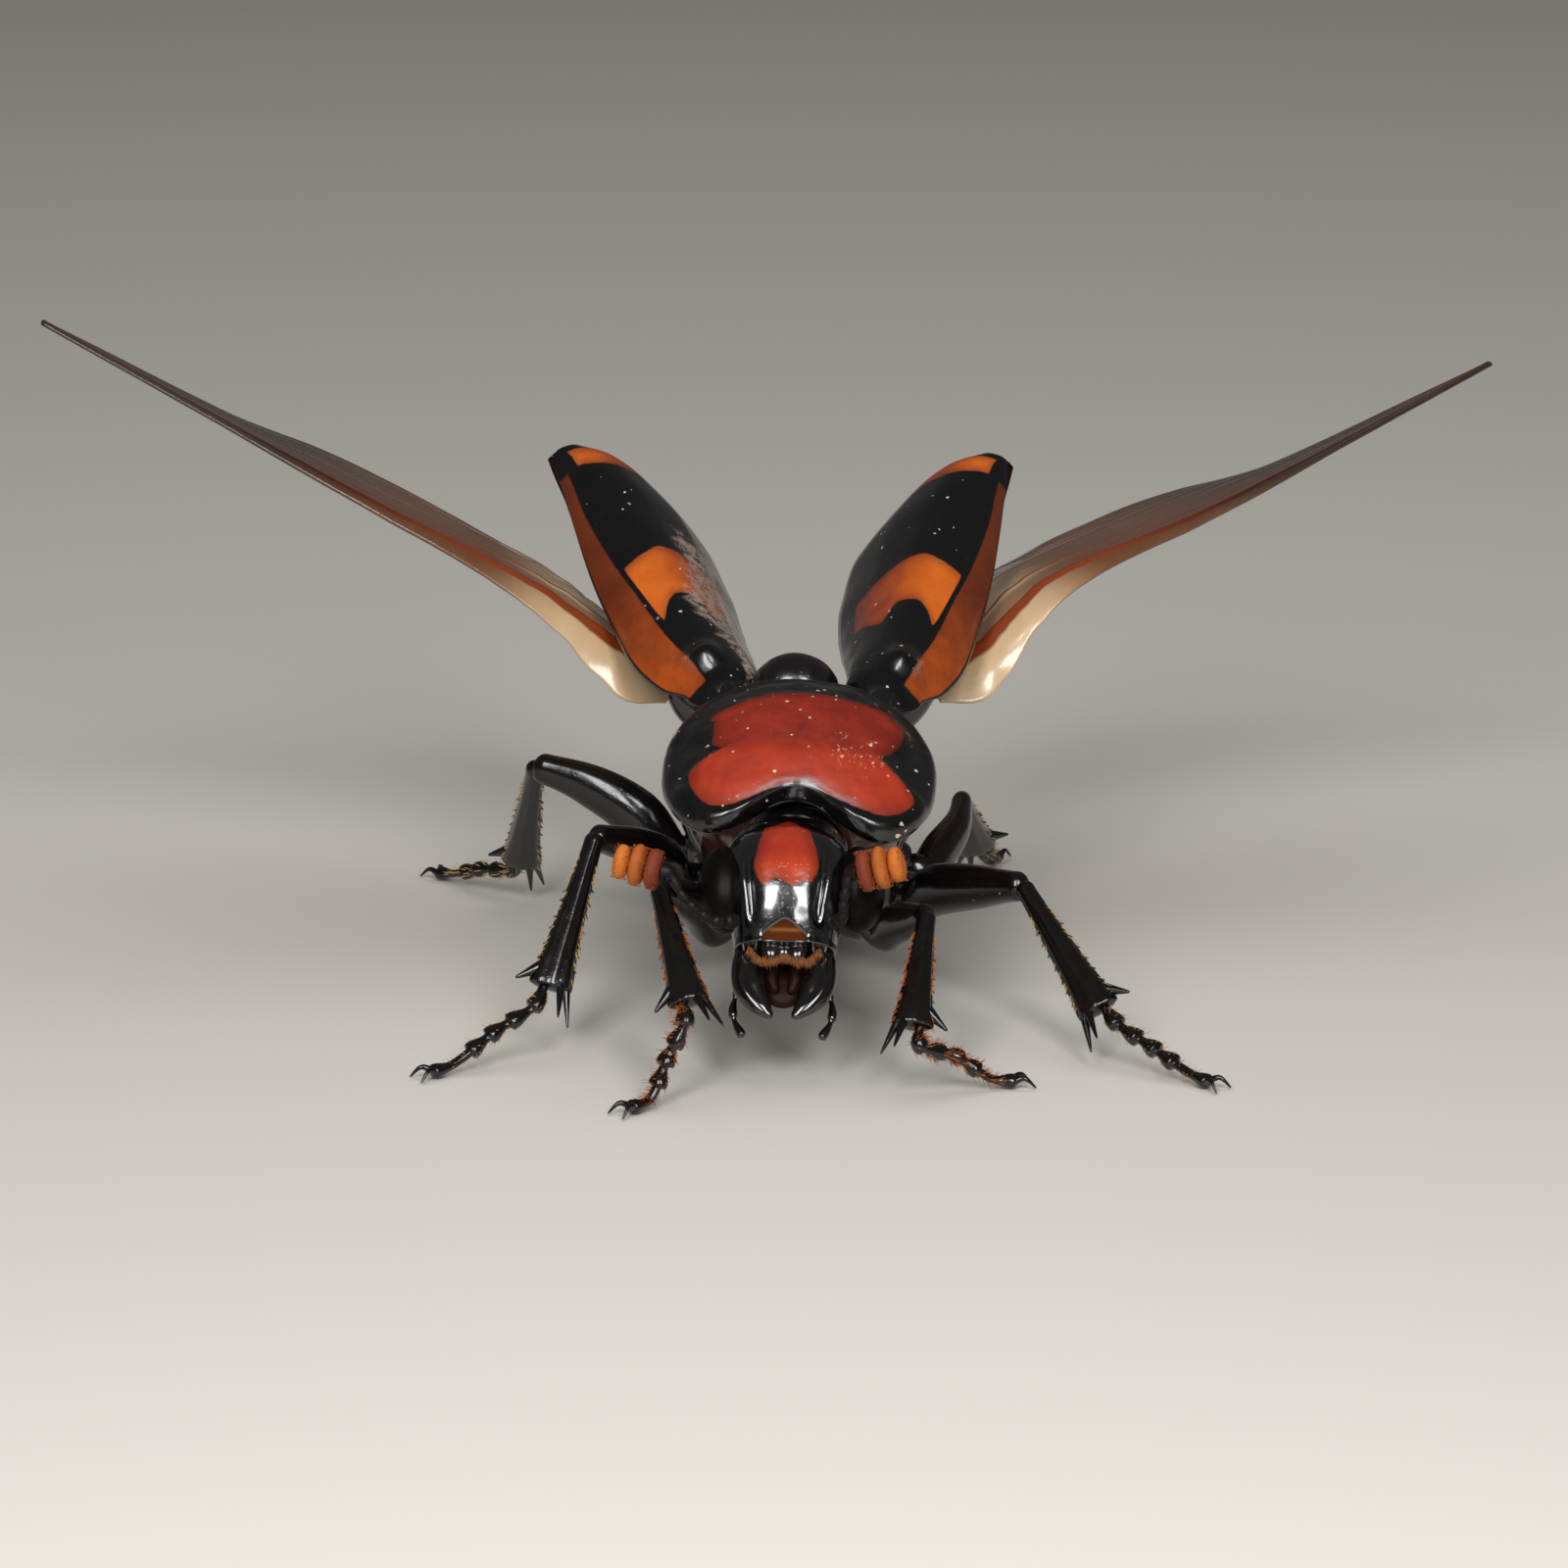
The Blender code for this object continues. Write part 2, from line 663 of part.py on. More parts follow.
def make_elytron(side):
    base, ahead, out, up, length = elytron_axes(side)
    wall = ELYTRON_THICKNESS
    rings = []
    for k in range(ELYTRON_STEPS + 1):
        share = k / ELYTRON_STEPS
        width, bulge, ridge, margin = blend(ELYTRON_ROWS, share)
        origin = base + ahead * (length * share) - out * width + up * bulge
        height = bulge + ridge
        fold = margin - ridge
        outer = []
        inner = []
        for i in range(ELYTRON_ARC):
            t = 0.5 * math.pi * i / (ELYTRON_ARC - 1)
            s = math.sin(t) ** 0.8
            c = math.cos(t) ** 0.8
            outer.append(origin + out * (width * s) + up * (height * (c - 1)))
            inner.append(origin + out * ((width - wall) * s) + up * (height * (c - 1) - wall * c))
        edge = [outer[-1] - up * (fold * f) - out * (ELYTRON_CURL * fold * f * f) for f in (0.5, 1.0)]
        back = [p - out * wall for p in edge]
        rings.append(outer + edge + back[::-1] + inner[::-1])
    finish("elytron_" + side, loft(rings, thin=True), "black")


# Hindwings

WINGS = {
    "right": {
        "joint": (-3.2, 9.0, 9.6),
        "root": (-5.25, 9.35, 12.05),
        "tip": (-32.9, 10.5, 27.75),
        "tilt": 5.0,
        "bow": 0.4,
    },
    "left": {
        "joint": (3.2, 9.0, 9.6),
        "root": (5.55, 9.3, 12.05),
        "tip": (31.3, 22.0, 23.55),
        "tilt": 9.0,
        "bow": 1.05,
    },
}

# Rows of (share of the span, chord behind the main vein, width and droop of the strip before it)
WING_ROWS = (
    (0.0, 0.9, 0.5, 1.2),
    (0.05, 3.6, 1.4, 2.0),
    (0.1, 6.5, 1.5, 2.0),
    (0.165, 9.2, 1.4, 1.2),
    (0.235, 10.5, 1.2, 0.8),
    (0.306, 11.0, 1.0, 0.5),
    (0.45, 11.3, 0.8, 0.25),
    (0.7, 9.8, 0.6, 0.1),
    (0.88, 6.0, 0.45, 0.06),
    (1.0, 0.5, 0.2, 0.05),
)

# How the tilt and the upward bow of the main vein change along the span
WING_TWIST = ((0.0, 1.0), (0.3, 1.05), (0.45, 1.22), (0.58, 1.1), (0.7, 0.56), (0.82, 0.4), (1.0, 0.35))
WING_BOW = ((0.0, 0.0), (0.09, 0.0), (0.15, 0.5), (0.22, 1.0), (0.3, 0.95), (0.45, 0.45), (0.6, 0.2), (1, 0))
WING_STRIP = (0.0, 0.25, 0.6)
WING_LINES = (0.0, 0.06, 0.14, 0.22, 0.27, 0.34, 0.44, 0.5, 0.58, 0.7, 0.84, 1.0)
WING_VEINS = (0, 3, 7, 10)
WING_STEPS = 18
WING_STEP_POWER = 1.3
WING_CAMBER = 0.5
WING_THINNING = 0.55


def wing_axes(side, share=0.0):
    spec = WINGS[side]
    root = Vector(spec["root"])
    tip = Vector(spec["tip"])
    out = (tip - root).normalized()
    view = -CAMERA_WAY
    back = (view - out * view.dot(out)).normalized()
    up = out.cross(back)
    if up.z < 0:
        up = -up
    tilt = math.radians(spec["tilt"] * blend(WING_TWIST, share)[0])
    chord = back * math.cos(tilt) + up * math.sin(tilt)
    rise = up * math.cos(tilt) - back * math.sin(tilt)
    return root, out, chord, rise, (tip - root).length


def wing_foot(side):
    # The middle of the wing's base face and the way that the wing runs from there.
    root, out, chord, rise, length = wing_axes(side)
    return root - rise * 0.35 + chord * 0.1, out


def make_wing(side):
    rings = []
    for k in range(WING_STEPS + 1):
        share = (k / WING_STEPS) ** WING_STEP_POWER
        root, out, chord, rise, length = wing_axes(side, share)
        wide, strip, droop = blend(WING_ROWS, share)
        bow = WINGS[side]["bow"] * blend(WING_BOW, share)[0]
        vein = root + out * (length * share) + rise * bow
        top = []
        under = []
        for f in WING_STRIP:
            point = vein - chord * (strip * (1 - f)) - rise * (droop * (1 - f) ** 1.2)
            add_pair(top, under, point, rise, share, 0.0)
        for j, line in enumerate(WING_LINES):
            camber = WING_CAMBER * math.sin(math.pi * line) * (1 - share)
            point = vein + chord * (wide * line) + rise * camber
            add_pair(top, under, point, rise, share, VEIN_HEIGHT if j in WING_VEINS else 0.0)
        rings.append(top + under[::-1])
    finish("hindwing_" + side, loft(rings, thin=True), "tan")


def add_pair(top, under, point, rise, share, ridge):
    # The upper and the lower point of the membrane, with a vein raised on both faces.
    lift = WING_THICKNESS / 2 * (1 - WING_THINNING * share ** 3)
    top.append(point + rise * (lift + ridge * (1 - 0.5 * share)))
    under.append(point - rise * (lift + ridge * 0.4 * (1 - 0.5 * share)))


# Legs: the hip, knee, ankle and toe of each, and how thick its femur is

LEGS = {
    "front_right": {
        "coxa": (-1.4, -3.4, 5.6),
        "hip": (-3.1, -4.8, 5.0),
        "knee": (-5.8, -9.9, 7.9),
        "ankle": (-4.5, -13.9, 4.1),
        "toe": (-6.95, -15.9),
        "femur": 0.9,
        "tibia": 0.85,
        "bow": (-0.15, 0, 0.3),
    },
    "front_left": {
        "coxa": (1.4, -3.4, 5.6),
        "hip": (3.1, -4.8, 4.9),
        "knee": (5.3, -9.5, 6.65),
        "ankle": (4.65, -13.2, 2.9),
        "toe": (9.0, -12.2),
        "femur": 0.9,
        "tibia": 0.85,
        "bow": (0.2, 0, 0),
    },
    "middle_right": {
        "coxa": (-2.2, 3.0, 5.4),
        "hip": (-4.4, 2.3, 5.0),
        "knee": (-8.6, -4.0, 8.5),
        "ankle": (-10.45, -8.0, 3.0),
        "toe": (-15.3, -11.0),
        "femur": 1.0,
        "tibia": 0.9,
        "bow": (0, 0, 0.3),
    },
    "middle_left": {
        "coxa": (2.2, 3.0, 5.4),
        "hip": (4.4, 2.3, 4.4),
        "knee": (9.5, -4.0, 6.35),
        "ankle": (12.6, -8.6, 2.2),
        "toe": (17.0, -12.4),
        "femur": 1.1,
        "tibia": 0.9,
        "bow": (0, 0, 0.1),
    },
    "hind_right": {
        "coxa": (-2.6, 8.8, 4.6),
        "hip": (-5.0, 9.0, 4.3),
        "knee": (-11.6, 10.3, 7.8),
        "ankle": (-12.5, 15.6, 1.9),
        "toe": (-16.4, 19.6),
        "femur": 1.15,
        "tibia": 0.9,
        "bow": (0, 0, 0.6),
    },
    "hind_left": {
        "coxa": (2.6, 8.0, 4.6),
        "hip": (4.9, 8.2, 3.8),
        "knee": (7.3, 13.4, 5.5),
        "ankle": (8.2, 18.6, 1.8),
        "toe": (9.2, 22.6),
        "femur": 0.95,
        "tibia": 0.9,
        "bow": (0.5, 0, -0.1),
    },
}


# Rows of (share of the length, breadth), and how deep a femur is for its breadth
FEMUR_SIZES = ((0.0, 0.72), (0.3, 1.0), (0.6, 0.9), (0.85, 0.66), (1.0, 0.52))
FEMUR_DEPTH = 0.85
FEMUR_SIDES = 10

# A tibia: its radius at the knee, (half the breadth, half the depth) at its middle,
# (share of its end's breadth, half the depth) where it flares, and half the depth of its end
TIBIA_KNEE_RADIUS = 0.42
TIBIA_MIDDLE = (0.5, 0.42)
TIBIA_FLARE = (0.8, 0.46)
TIBIA_END_DEPTH = 0.48
TIBIA_STATIONS = (0.0, 0.12, 0.4, 0.75, 1.0)

# The tooth outside the end of a tibia and the two spurs inside it
TOOTH_RADIUS = 0.3
TOOTH_REACH = 0.6
SPUR_RADIUS = 0.24
SPUR_LENGTHS = (1.75, 1.6)
SPUR_SPREAD = 0.3

# Where along the tarsus each of its joints ends, and how thick a joint is from its foot to its end
TARSUS_JOINTS = (0.0, 0.2, 0.38, 0.54, 0.7, 1.0)
TARSUS_RADII = (0.26, 0.36, 0.4)
TARSUS_BREADTH = 1.12
TARSUS_DEPTH = 0.92
HEEL_LENGTH = 1.1
HEEL_HEIGHT = 0.5
TOE_HEIGHT = 0.3
CLAW_RADIUS = 0.2
CLAW_LENGTH = 0.75
CLAW_SPREAD = 0.5
CLAW_ARCH = 0.28
COXA_SWELL = 0.15


def coxa(leg):
    spec = LEGS[leg]
    inner_radius = spec["femur"] + COXA_SWELL
    outer_radius = spec["femur"] - COXA_SWELL
    return boss(Vector(spec["coxa"]), Vector(spec["hip"]), inner_radius, outer_radius)


def make_femur(leg, root, hip, end, knee_normal):
    # Thickest a third of the way along, and a little bowed upwards.
    bow = Vector(LEGS[leg]["bow"])
    path = [hip, hip + root * 0.35, hip.lerp(end, 0.3) + bow, hip.lerp(end, 0.65) + bow, end]
    places = curve_through(path, 9)
    sizes = []
    for k in range(9):
        breadth = blend(FEMUR_SIZES, k / 8)[0] * LEGS[leg]["femur"]
        sizes.append((breadth, breadth * FEMUR_DEPTH))
    finish(leg + "_femur", tube(places, sizes, FEMUR_SIDES, Vector((0, 0, 1)), root, knee_normal), "black")


def make_tibia(leg, start, ankle, shin, broad, knee_normal):
    # Narrow at the knee and broad at the end, with a tooth outside and two spurs inside.
    wide = LEGS[leg]["tibia"]
    places = [start.lerp(ankle, share) for share in TIBIA_STATIONS]
    knee_size = (TIBIA_KNEE_RADIUS, TIBIA_KNEE_RADIUS)
    flare = (wide * TIBIA_FLARE[0], TIBIA_FLARE[1])
    sizes = [knee_size, knee_size, TIBIA_MIDDLE, flare, (wide, TIBIA_END_DEPTH)]
    side = shin.cross(broad).normalized()
    if side.y > 0:
        side = -side
    pieces = [tube(places, sizes, FEMUR_SIDES, broad, knee_normal, None)]
    corner = ankle + broad * wide
    tooth_root = corner - shin * 0.9 - broad * 0.35
    pieces.append(spike(tooth_root, corner + broad * TOOTH_REACH - shin * 0.1, TOOTH_RADIUS))
    inner = ankle - broad * wide - shin * 0.35
    roots = (inner + broad * 0.28, inner + broad * 0.5 + side * 0.2)
    leans = (Vector((0, 0, 0)), side * 0.35)
    starts = (inner, roots[1])
    for root, begin, length, lean in zip(roots, starts, SPUR_LENGTHS, leans):
        pieces.append(spike(root, begin + shin * length - broad * SPUR_SPREAD + lean, SPUR_RADIUS))
    finish(leg + "_tibia", fuse(pieces), "black")


def make_tarsus(leg, ankle, shin, broad):
    # Five joints, the last one long, flat on the floor and with a pair of claws.
    toe = Vector((*LEGS[leg]["toe"], TOE_HEIGHT))
    away = Vector((toe.x - ankle.x, toe.y - ankle.y, 0)).normalized()
    heel = toe - away * HEEL_LENGTH
    heel.z = HEEL_HEIGHT
    start = ankle + broad * 0.25 + shin * GAP
    path = [start, start + shin * 0.5 + away * 0.2, heel.lerp(ankle, 0.45), heel, toe]
    rows = []
    for begin, stop in zip(TARSUS_JOINTS, TARSUS_JOINTS[1:]):
        rows.append((begin + 0.015, TARSUS_RADII[0]))
        rows.append((begin + (stop - begin) * 0.6, TARSUS_RADII[1]))
        rows.append((stop - 0.02, TARSUS_RADII[2]))
    rows[0] = (0.0, TARSUS_RADII[0])
    smooth = curve_through(path, 41)
    across = away.cross(Vector((0, 0, 1)))
    places = [smooth[round(share * 40)] for share, radius in rows]
    sizes = [(radius * TARSUS_BREADTH, radius * TARSUS_DEPTH) for share, radius in rows]
    pieces = [tube(places, sizes, 8, across, shin, None)]
    for turn in (-1, 1):
        base = toe - away * 0.2 + across * 0.14 * turn
        tip = toe + away * CLAW_LENGTH + across * CLAW_SPREAD * turn
        tip.z = 0.08
        pieces.append(spike(base, tip, CLAW_RADIUS, Vector((0, 0, CLAW_ARCH)), 3))
    foot = fuse(pieces)
    cut_floor(foot)
    finish(leg + "_tarsus", foot, "black")


def make_leg(leg):
    spec = LEGS[leg]
    sign = -1 if leg.endswith("right") else 1
    root = (Vector(spec["hip"]) - Vector(spec["coxa"])).normalized()
    hip = Vector(spec["hip"]) + root * GAP
    knee = Vector(spec["knee"])
    ankle = Vector(spec["ankle"])
    thigh = (knee - hip).normalized()
    shin = (ankle - knee).normalized()
    knee_normal = (thigh + shin).normalized()
    broad = shin.cross(CAMERA_WAY).normalized()
    if broad.x * sign < 0:
        broad = -broad
    make_femur(leg, root, hip, knee - knee_normal * GAP / 2, knee_normal)
    make_tibia(leg, knee + knee_normal * GAP / 2, ankle, shin, broad, knee_normal)
    make_tarsus(leg, ankle, shin, broad)


def main():
    clear_scene()
    make_pronotum()
    make_prothorax()
    make_mesothorax()
    make_metathorax()
    make_abdomen()
    make_head()
    make_mouth()
    make_antennae()
    for side in ("right", "left"):
        make_elytron(side)
        make_wing(side)
    for leg in LEGS:
        make_leg(leg)


main()
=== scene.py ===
# American burying beetle, life size: elytra raised, hindwings spread, standing on a pale floor.
import math
import random

import bmesh
import bpy
from mathutils import Matrix, Vector, noise


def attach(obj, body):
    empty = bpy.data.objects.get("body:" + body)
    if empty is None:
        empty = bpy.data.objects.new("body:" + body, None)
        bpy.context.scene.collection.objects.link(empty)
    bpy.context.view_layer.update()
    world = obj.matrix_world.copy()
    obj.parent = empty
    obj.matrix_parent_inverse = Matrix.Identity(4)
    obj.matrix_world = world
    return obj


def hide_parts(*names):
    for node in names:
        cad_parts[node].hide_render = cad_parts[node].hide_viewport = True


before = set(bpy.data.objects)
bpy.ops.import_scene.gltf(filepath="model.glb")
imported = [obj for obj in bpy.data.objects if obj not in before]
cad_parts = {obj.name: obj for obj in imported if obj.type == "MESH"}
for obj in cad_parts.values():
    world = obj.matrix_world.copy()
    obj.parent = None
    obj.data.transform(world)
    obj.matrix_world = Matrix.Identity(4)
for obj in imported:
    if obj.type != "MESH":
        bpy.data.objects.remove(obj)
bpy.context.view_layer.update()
print("frame loaded:", len(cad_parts), "nodes")

# Shapes are drawn in millimetres on the beetle's own axes: it faces -Y, and +X is its left.
# The last step of each piece moves it to the frame's origin and turns it to metres.
frameOrigin = Vector((-0.78, 5.18, 0.0))
cameraWay = Vector((0.0, -0.966, 0.259))
leftward = Vector((1, 0, 0))
upward = Vector((0, 0, 1))
# The narrow space between two solids that stand next to each other.
gap = 0.3
# The two sides, and the sign of X on each.
sides = {"right": -1, "left": 1}


# Curves

def rowAt(rows, t):
    # Reads a smooth curve through rows of (t, value, value, ...).
    t = min(max(t, rows[0][0]), rows[-1][0])
    k = 0
    while k < len(rows) - 2 and t > rows[k + 1][0]:
        k += 1
    before, here = rows[max(k - 1, 0)], rows[k]
    after, beyond = rows[k + 1], rows[min(k + 2, len(rows) - 1)]
    span = after[0] - here[0]
    f = (t - here[0]) / span
    h1 = 2 * f ** 3 - 3 * f ** 2 + 1
    h2 = f ** 3 - 2 * f ** 2 + f
    h3 = f ** 3 - f ** 2
    mixed = []
    for i in range(1, len(here)):
        slopeIn = (after[i] - before[i]) * span / (after[0] - before[0])
        slopeOut = (beyond[i] - here[i]) * span / (beyond[0] - here[0])
        mixed.append(here[i] * h1 + slopeIn * h2 + slopeOut * h3 + after[i] * (1 - h1))
    return mixed


def stationsOf(points):
    # The share of the whole length that lies before each point, and the length.
    run = [0.0]
    for a, b in zip(points, points[1:]):
        run.append(run[-1] + (Vector(b) - Vector(a)).length)
    return [(r / run[-1], *p) for r, p in zip(run, points)], run[-1]


def near(x, centre, width):
    return math.exp(-((x - centre) / width) ** 2)


def ease(low, high, x):
    t = min(max((x - low) / (high - low), 0.0), 1.0)
    return t * t * (3 - 2 * t)


def signedPower(value, power):
    return math.copysign(abs(value) ** power, value)


def roundOff(x):
    # A quarter circle, from 1 at 0 down to 0 at 1.
    return math.sqrt(max(0.0, 1 - x ** 2))


def capped(v, first, last):
    # 1 along a shell, and rounded off before the first share of its grid and past the last.
    return roundOff(max(0.0, (first - v) / first, (v - last) / (1 - last)))


def noiseOf(x, y, z):
    return noise.noise(Vector((x, y, z)))


def ballAngles(u, v):
    return 2 * math.pi * u, math.pi * (v - 0.5)


# Meshes

def wrapGrid(across, along, shape, marks=None):
    # Lays a flat grid over a surface. shape turns its two shares into a point, and marks into values.
    bm = bmesh.new()
    bm.loops.layers.uv.new("surface")
    bmesh.ops.create_grid(bm, x_segments=across, y_segments=along, size=0.5, calc_uvs=True)
    layers = {name: bm.verts.layers.float.new(name) for name in (marks or {})}
    for vert in bm.verts:
        u, v = vert.co.x + 0.5, vert.co.y + 0.5
        vert.co = shape(u, v)
        for name, layer in layers.items():
            vert[layer] = marks[name](u, v)
    bmesh.ops.remove_doubles(bm, verts=bm.verts, dist=0.0004)
    return bm


def tubeShape(path, profile, broad, rows, roundStart=0.3, roundEnd=0.3):
    # A limb along a path. profile gives the half breadth and half depth: rows of (share, breadth,
    # depth), or what a function makes of a share and an angle.
    stations, length = stationsOf(path)
    seen = {}

    def axesAt(v):
        if v not in seen:
            share = 0.5 - 0.5 * math.cos(math.pi * v)
            centre = Vector(rowAt(stations, share))
            ahead = Vector(rowAt(stations, share + 0.01)) - Vector(rowAt(stations, share - 0.01))
            ahead.normalize()
            across = (broad - ahead * broad.dot(ahead)).normalized()
            close = 1.0
            if share * length < roundStart:
                close = roundOff(1 - share * length / roundStart)
            if (1 - share) * length < roundEnd:
                close = min(close, roundOff(1 - (1 - share) * length / roundEnd))
            seen[v] = (share, centre, across, ahead.cross(across), close)
        return seen[v]

    def shape(u, v):
        share, centre, across, along, close = axesAt(round(v * rows) / rows)
        angle = 2 * math.pi * u
        half, deep = profile(share, angle) if callable(profile) else rowAt(profile, share)
        return centre + across * (half * close * math.cos(angle)) + along * (deep * close * math.sin(angle))

    return shape


def wrapTube(across, rows, path, profile, broad, roundStart=0.3, roundEnd=0.3):
    return wrapGrid(across, rows, tubeShape(path, profile, broad, rows, roundStart, roundEnd))


def joinInto(target, other):
    # Adds one closed shape to another piece's mesh.
    mesh = bpy.data.meshes.new("part")
    other.to_mesh(mesh)
    other.free()
    target.from_mesh(mesh)
    bpy.data.meshes.remove(mesh)


def addObject(name, data):
    thing = bpy.data.objects.new(name, data)
    bpy.context.scene.collection.objects.link(thing)
    return thing


def addPiece(name, mesh, materials, nodes=()):
    mesh.shade_smooth()
    for material in materials:
        mesh.materials.append(material)
    piece = addObject(name, mesh)
    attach(piece, "root")
    if nodes:
        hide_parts(*nodes)
    return piece


def finishPiece(bm, name, materials, nodes=(), turnNormals=True):
    if turnNormals:
        bmesh.ops.recalc_face_normals(bm, faces=bm.faces)
    bmesh.ops.translate(bm, vec=-frameOrigin, verts=bm.verts)
    bmesh.ops.scale(bm, vec=(0.001, 0.001, 0.001), verts=bm.verts)
    mesh = bpy.data.meshes.new(name)
    bm.to_mesh(mesh)
    bm.free()
    return addPiece(name, mesh, materials, nodes)


def addWall(piece, thickness, offset):
    wall = piece.modifiers.new("wall", 'SOLIDIFY')
    wall.thickness = thickness * 0.001
    wall.offset = offset
    return wall


hair = {"corners": 3, "rings": 3, "taper": 0.55}


def growHairs(name, roots, material):
    # Each root is (point, direction, length, width, droop, place on the OFBake map).
    corners, rings = hair["corners"], hair["rings"]
    verts, faces, places = [], [], []
    for point, way, length, width, droop, (mapX, mapY) in roots:
        way = way.normalized()
        side = way.orthogonal().normalized()
        other = way.cross(side)
        start = len(verts)
        for k in range(rings):
            f = k / rings
            centre = point + way * (length * f) + Vector((0, 0, -droop * length * f * f))
            thick = width * (1 - hair["taper"] * f)
            for i in range(corners):
                a = 2 * math.pi * i / corners
                verts.append(centre + side * (math.cos(a) * thick) + other * (math.sin(a) * thick))
        verts.append(point + way * length + Vector((0, 0, -droop * length)))
        for k in range(rings - 1):
            for i in range(corners):
                j = (i + 1) % corners
                low, high = start + k * corners, start + (k + 1) * corners
                faces.append((low + i, low + j, high + j, high + i))
        top = start + (rings - 1) * corners
        for i in range(corners):
            faces.append((top + i, top + (i + 1) % corners, start + rings * corners))
        faces.append(tuple(start + i for i in reversed(range(corners))))
        for n in range(rings * corners + 1):
            k, i = divmod(n, corners)
            places.append((mapX + 0.0012 * (i - 1), mapY + 0.001 * (k - 1.5)))
    for v in verts:
        v.z = max(v.z, 0.01)
    mesh = bpy.data.meshes.new(name)
    mesh.from_pydata([(v - frameOrigin) * 0.001 for v in verts], [], faces)
    layer = mesh.uv_layers.new(name="OFBake")
    for loop in mesh.loops:
        layer.data[loop.index].uv = places[loop.vertex_index]
    return addPiece(name, mesh, [material])


# Materials

def linear(colour):
    parts = [int(colour[i:i + 2], 16) / 255 for i in (1, 3, 5)]
    return (*(p / 12.92 if p <= 0.04045 else ((p + 0.055) / 1.055) ** 2.4 for p in parts), 1.0)


def isSocket(value):
    return hasattr(value, "id_data")


def addNode(tree, kind, settings=None, links=None):
    node = tree.nodes.new(kind)
    for key, value in (settings or {}).items():
        if isinstance(key, str) and hasattr(node, key):
            setattr(node, key, value)
        else:
            node.inputs[key].default_value = value
    for key, source in (links or {}).items():
        tree.links.new(source, node.inputs[key])
    return node


def feed(node, key, value):
    # A socket is linked to the input, and a plain value is set on it.
    if isSocket(value):
        node.id_data.links.new(value, node.inputs[key])
    else:
        node.inputs[key].default_value = value


def startMaterial(name, settings):
    material = bpy.data.materials.new(name)
    material.use_nodes = True
    tree = material.node_tree
    for key, value in settings.items():
        feed(tree.nodes["Principled BSDF"], key, value)
    place = addNode(tree, 'ShaderNodeTexCoord').outputs["Object"]
    addNode(tree, 'ShaderNodeMapping', {"Scale": (1000, 1000, 1000)}, {0: place})
    return material, *reopen(material)


def reopen(material):
    # The tree, the shader and the place in millimetres of a finish.
    tree = material.node_tree
    return tree, tree.nodes["Principled BSDF"], tree.nodes["Mapping"].outputs[0]


def ramp(source, stops, blendWay='LINEAR'):
    node = addNode(source.id_data, 'ShaderNodeValToRGB', None, {0: source})
    node.color_ramp.interpolation = blendWay
    marks = node.color_ramp.elements
    while len(marks) < len(stops):
        marks.new(0.5)
    for mark, (place, grey) in zip(marks, stops):
        mark.position = place
        mark.color = (grey, grey, grey, 1.0)
    return node.outputs[0]


def mixColours(share, first, second):
    # Each colour is a socket, a hex text or a grey.
    tree = next(value for value in (share, first, second) if isSocket(value)).id_data
    node = addNode(tree, 'ShaderNodeMix', {"data_type": 'RGBA'})
    feed(node, 0, share)
    for key, value in ((6, first), (7, second)):
        if isinstance(value, str):
            value = linear(value)
        if isinstance(value, float):
            value = (value, value, value, 1.0)
        feed(node, key, value)
    return node.outputs[2]


def mathOf(operation, first, second, clamp=False):
    tree = (first if isSocket(first) else second).id_data
    node = addNode(tree, 'ShaderNodeMath', {"operation": operation, "use_clamp": clamp})
    feed(node, 0, first)
    feed(node, 1, second)
    return node.outputs[0]


def plus(first, second, clamp=False):
    return mathOf('ADD', first, second, clamp)


def minus(first, second):
    return mathOf('SUBTRACT', first, second)


def times(first, second, clamp=False):
    return mathOf('MULTIPLY', first, second, clamp)


def swing(field, amount):
    # Turns a share into a move to both sides of 0.
    return times(minus(field, 0.5), amount)


def noiseAt(where, perMillimetre, detail=3.0, roughness=0.55):
    settings = {"Scale": perMillimetre, "Detail": detail, "Roughness": roughness}
    return addNode(where.id_data, 'ShaderNodeTexNoise', settings, {"Vector": where}).outputs["Fac"]


def cellsAt(where, perMillimetre, randomness):
    settings = {"Scale": perMillimetre, "Randomness": randomness}
    return addNode(where.id_data, 'ShaderNodeTexVoronoi', settings, {"Vector": where}).outputs["Distance"]


def bumpFrom(height, strength, millimetres, under=None):
    links = {"Height": height, **({"Normal": under} if under else {})}
    settings = {"Strength": strength, "Distance": millimetres * 0.001}
    return addNode(height.id_data, 'ShaderNodeBump', settings, links).outputs[0]


def shellRelief(shader, where, pitSpacing, pitDepth, wrinkle):
    # Fine pits with a little waviness between them, as on chitin.
    pitted = ramp(cellsAt(where, 1 / pitSpacing, 0.9), ((0.0, 0.0), (0.28, 1.0)), 'EASE')
    pits = bumpFrom(pitted, 0.6, pitDepth)
    feed(shader, "Normal", bumpFrom(noiseAt(where, 2.2, 4.0), 0.7, wrinkle, pits))


# The dust is matt, and its cells are this many millimetres apart.
dustRoughness = 0.8
dustSpacing = 0.55


def dusted(where, colour, dust, amount):
    # Scattered pale specks of dust, one to a cell, and few of them large enough to show.
    uneven = minus(noiseAt(where, 1.4, 5.0, 0.75), 0.58 - amount)
    reach = plus(cellsAt(where, 1 / dustSpacing, 1.0), swing(noiseAt(where, 7.0, 3.0, 0.7), 0.4))
    speck = mathOf('LESS_THAN', reach, times(uneven, 1.1))
    return mixColours(speck, colour, dust), speck


def coverInput(shader, key, share, value):
    # Lays a colour or a grey over what the input has so far.
    feed(shader, key, mixColours(share, shader.inputs[key].links[0].from_socket, value))


def readMark(tree, name):
    return addNode(tree, 'ShaderNodeAttribute', {"attribute_name": name}).outputs["Fac"]


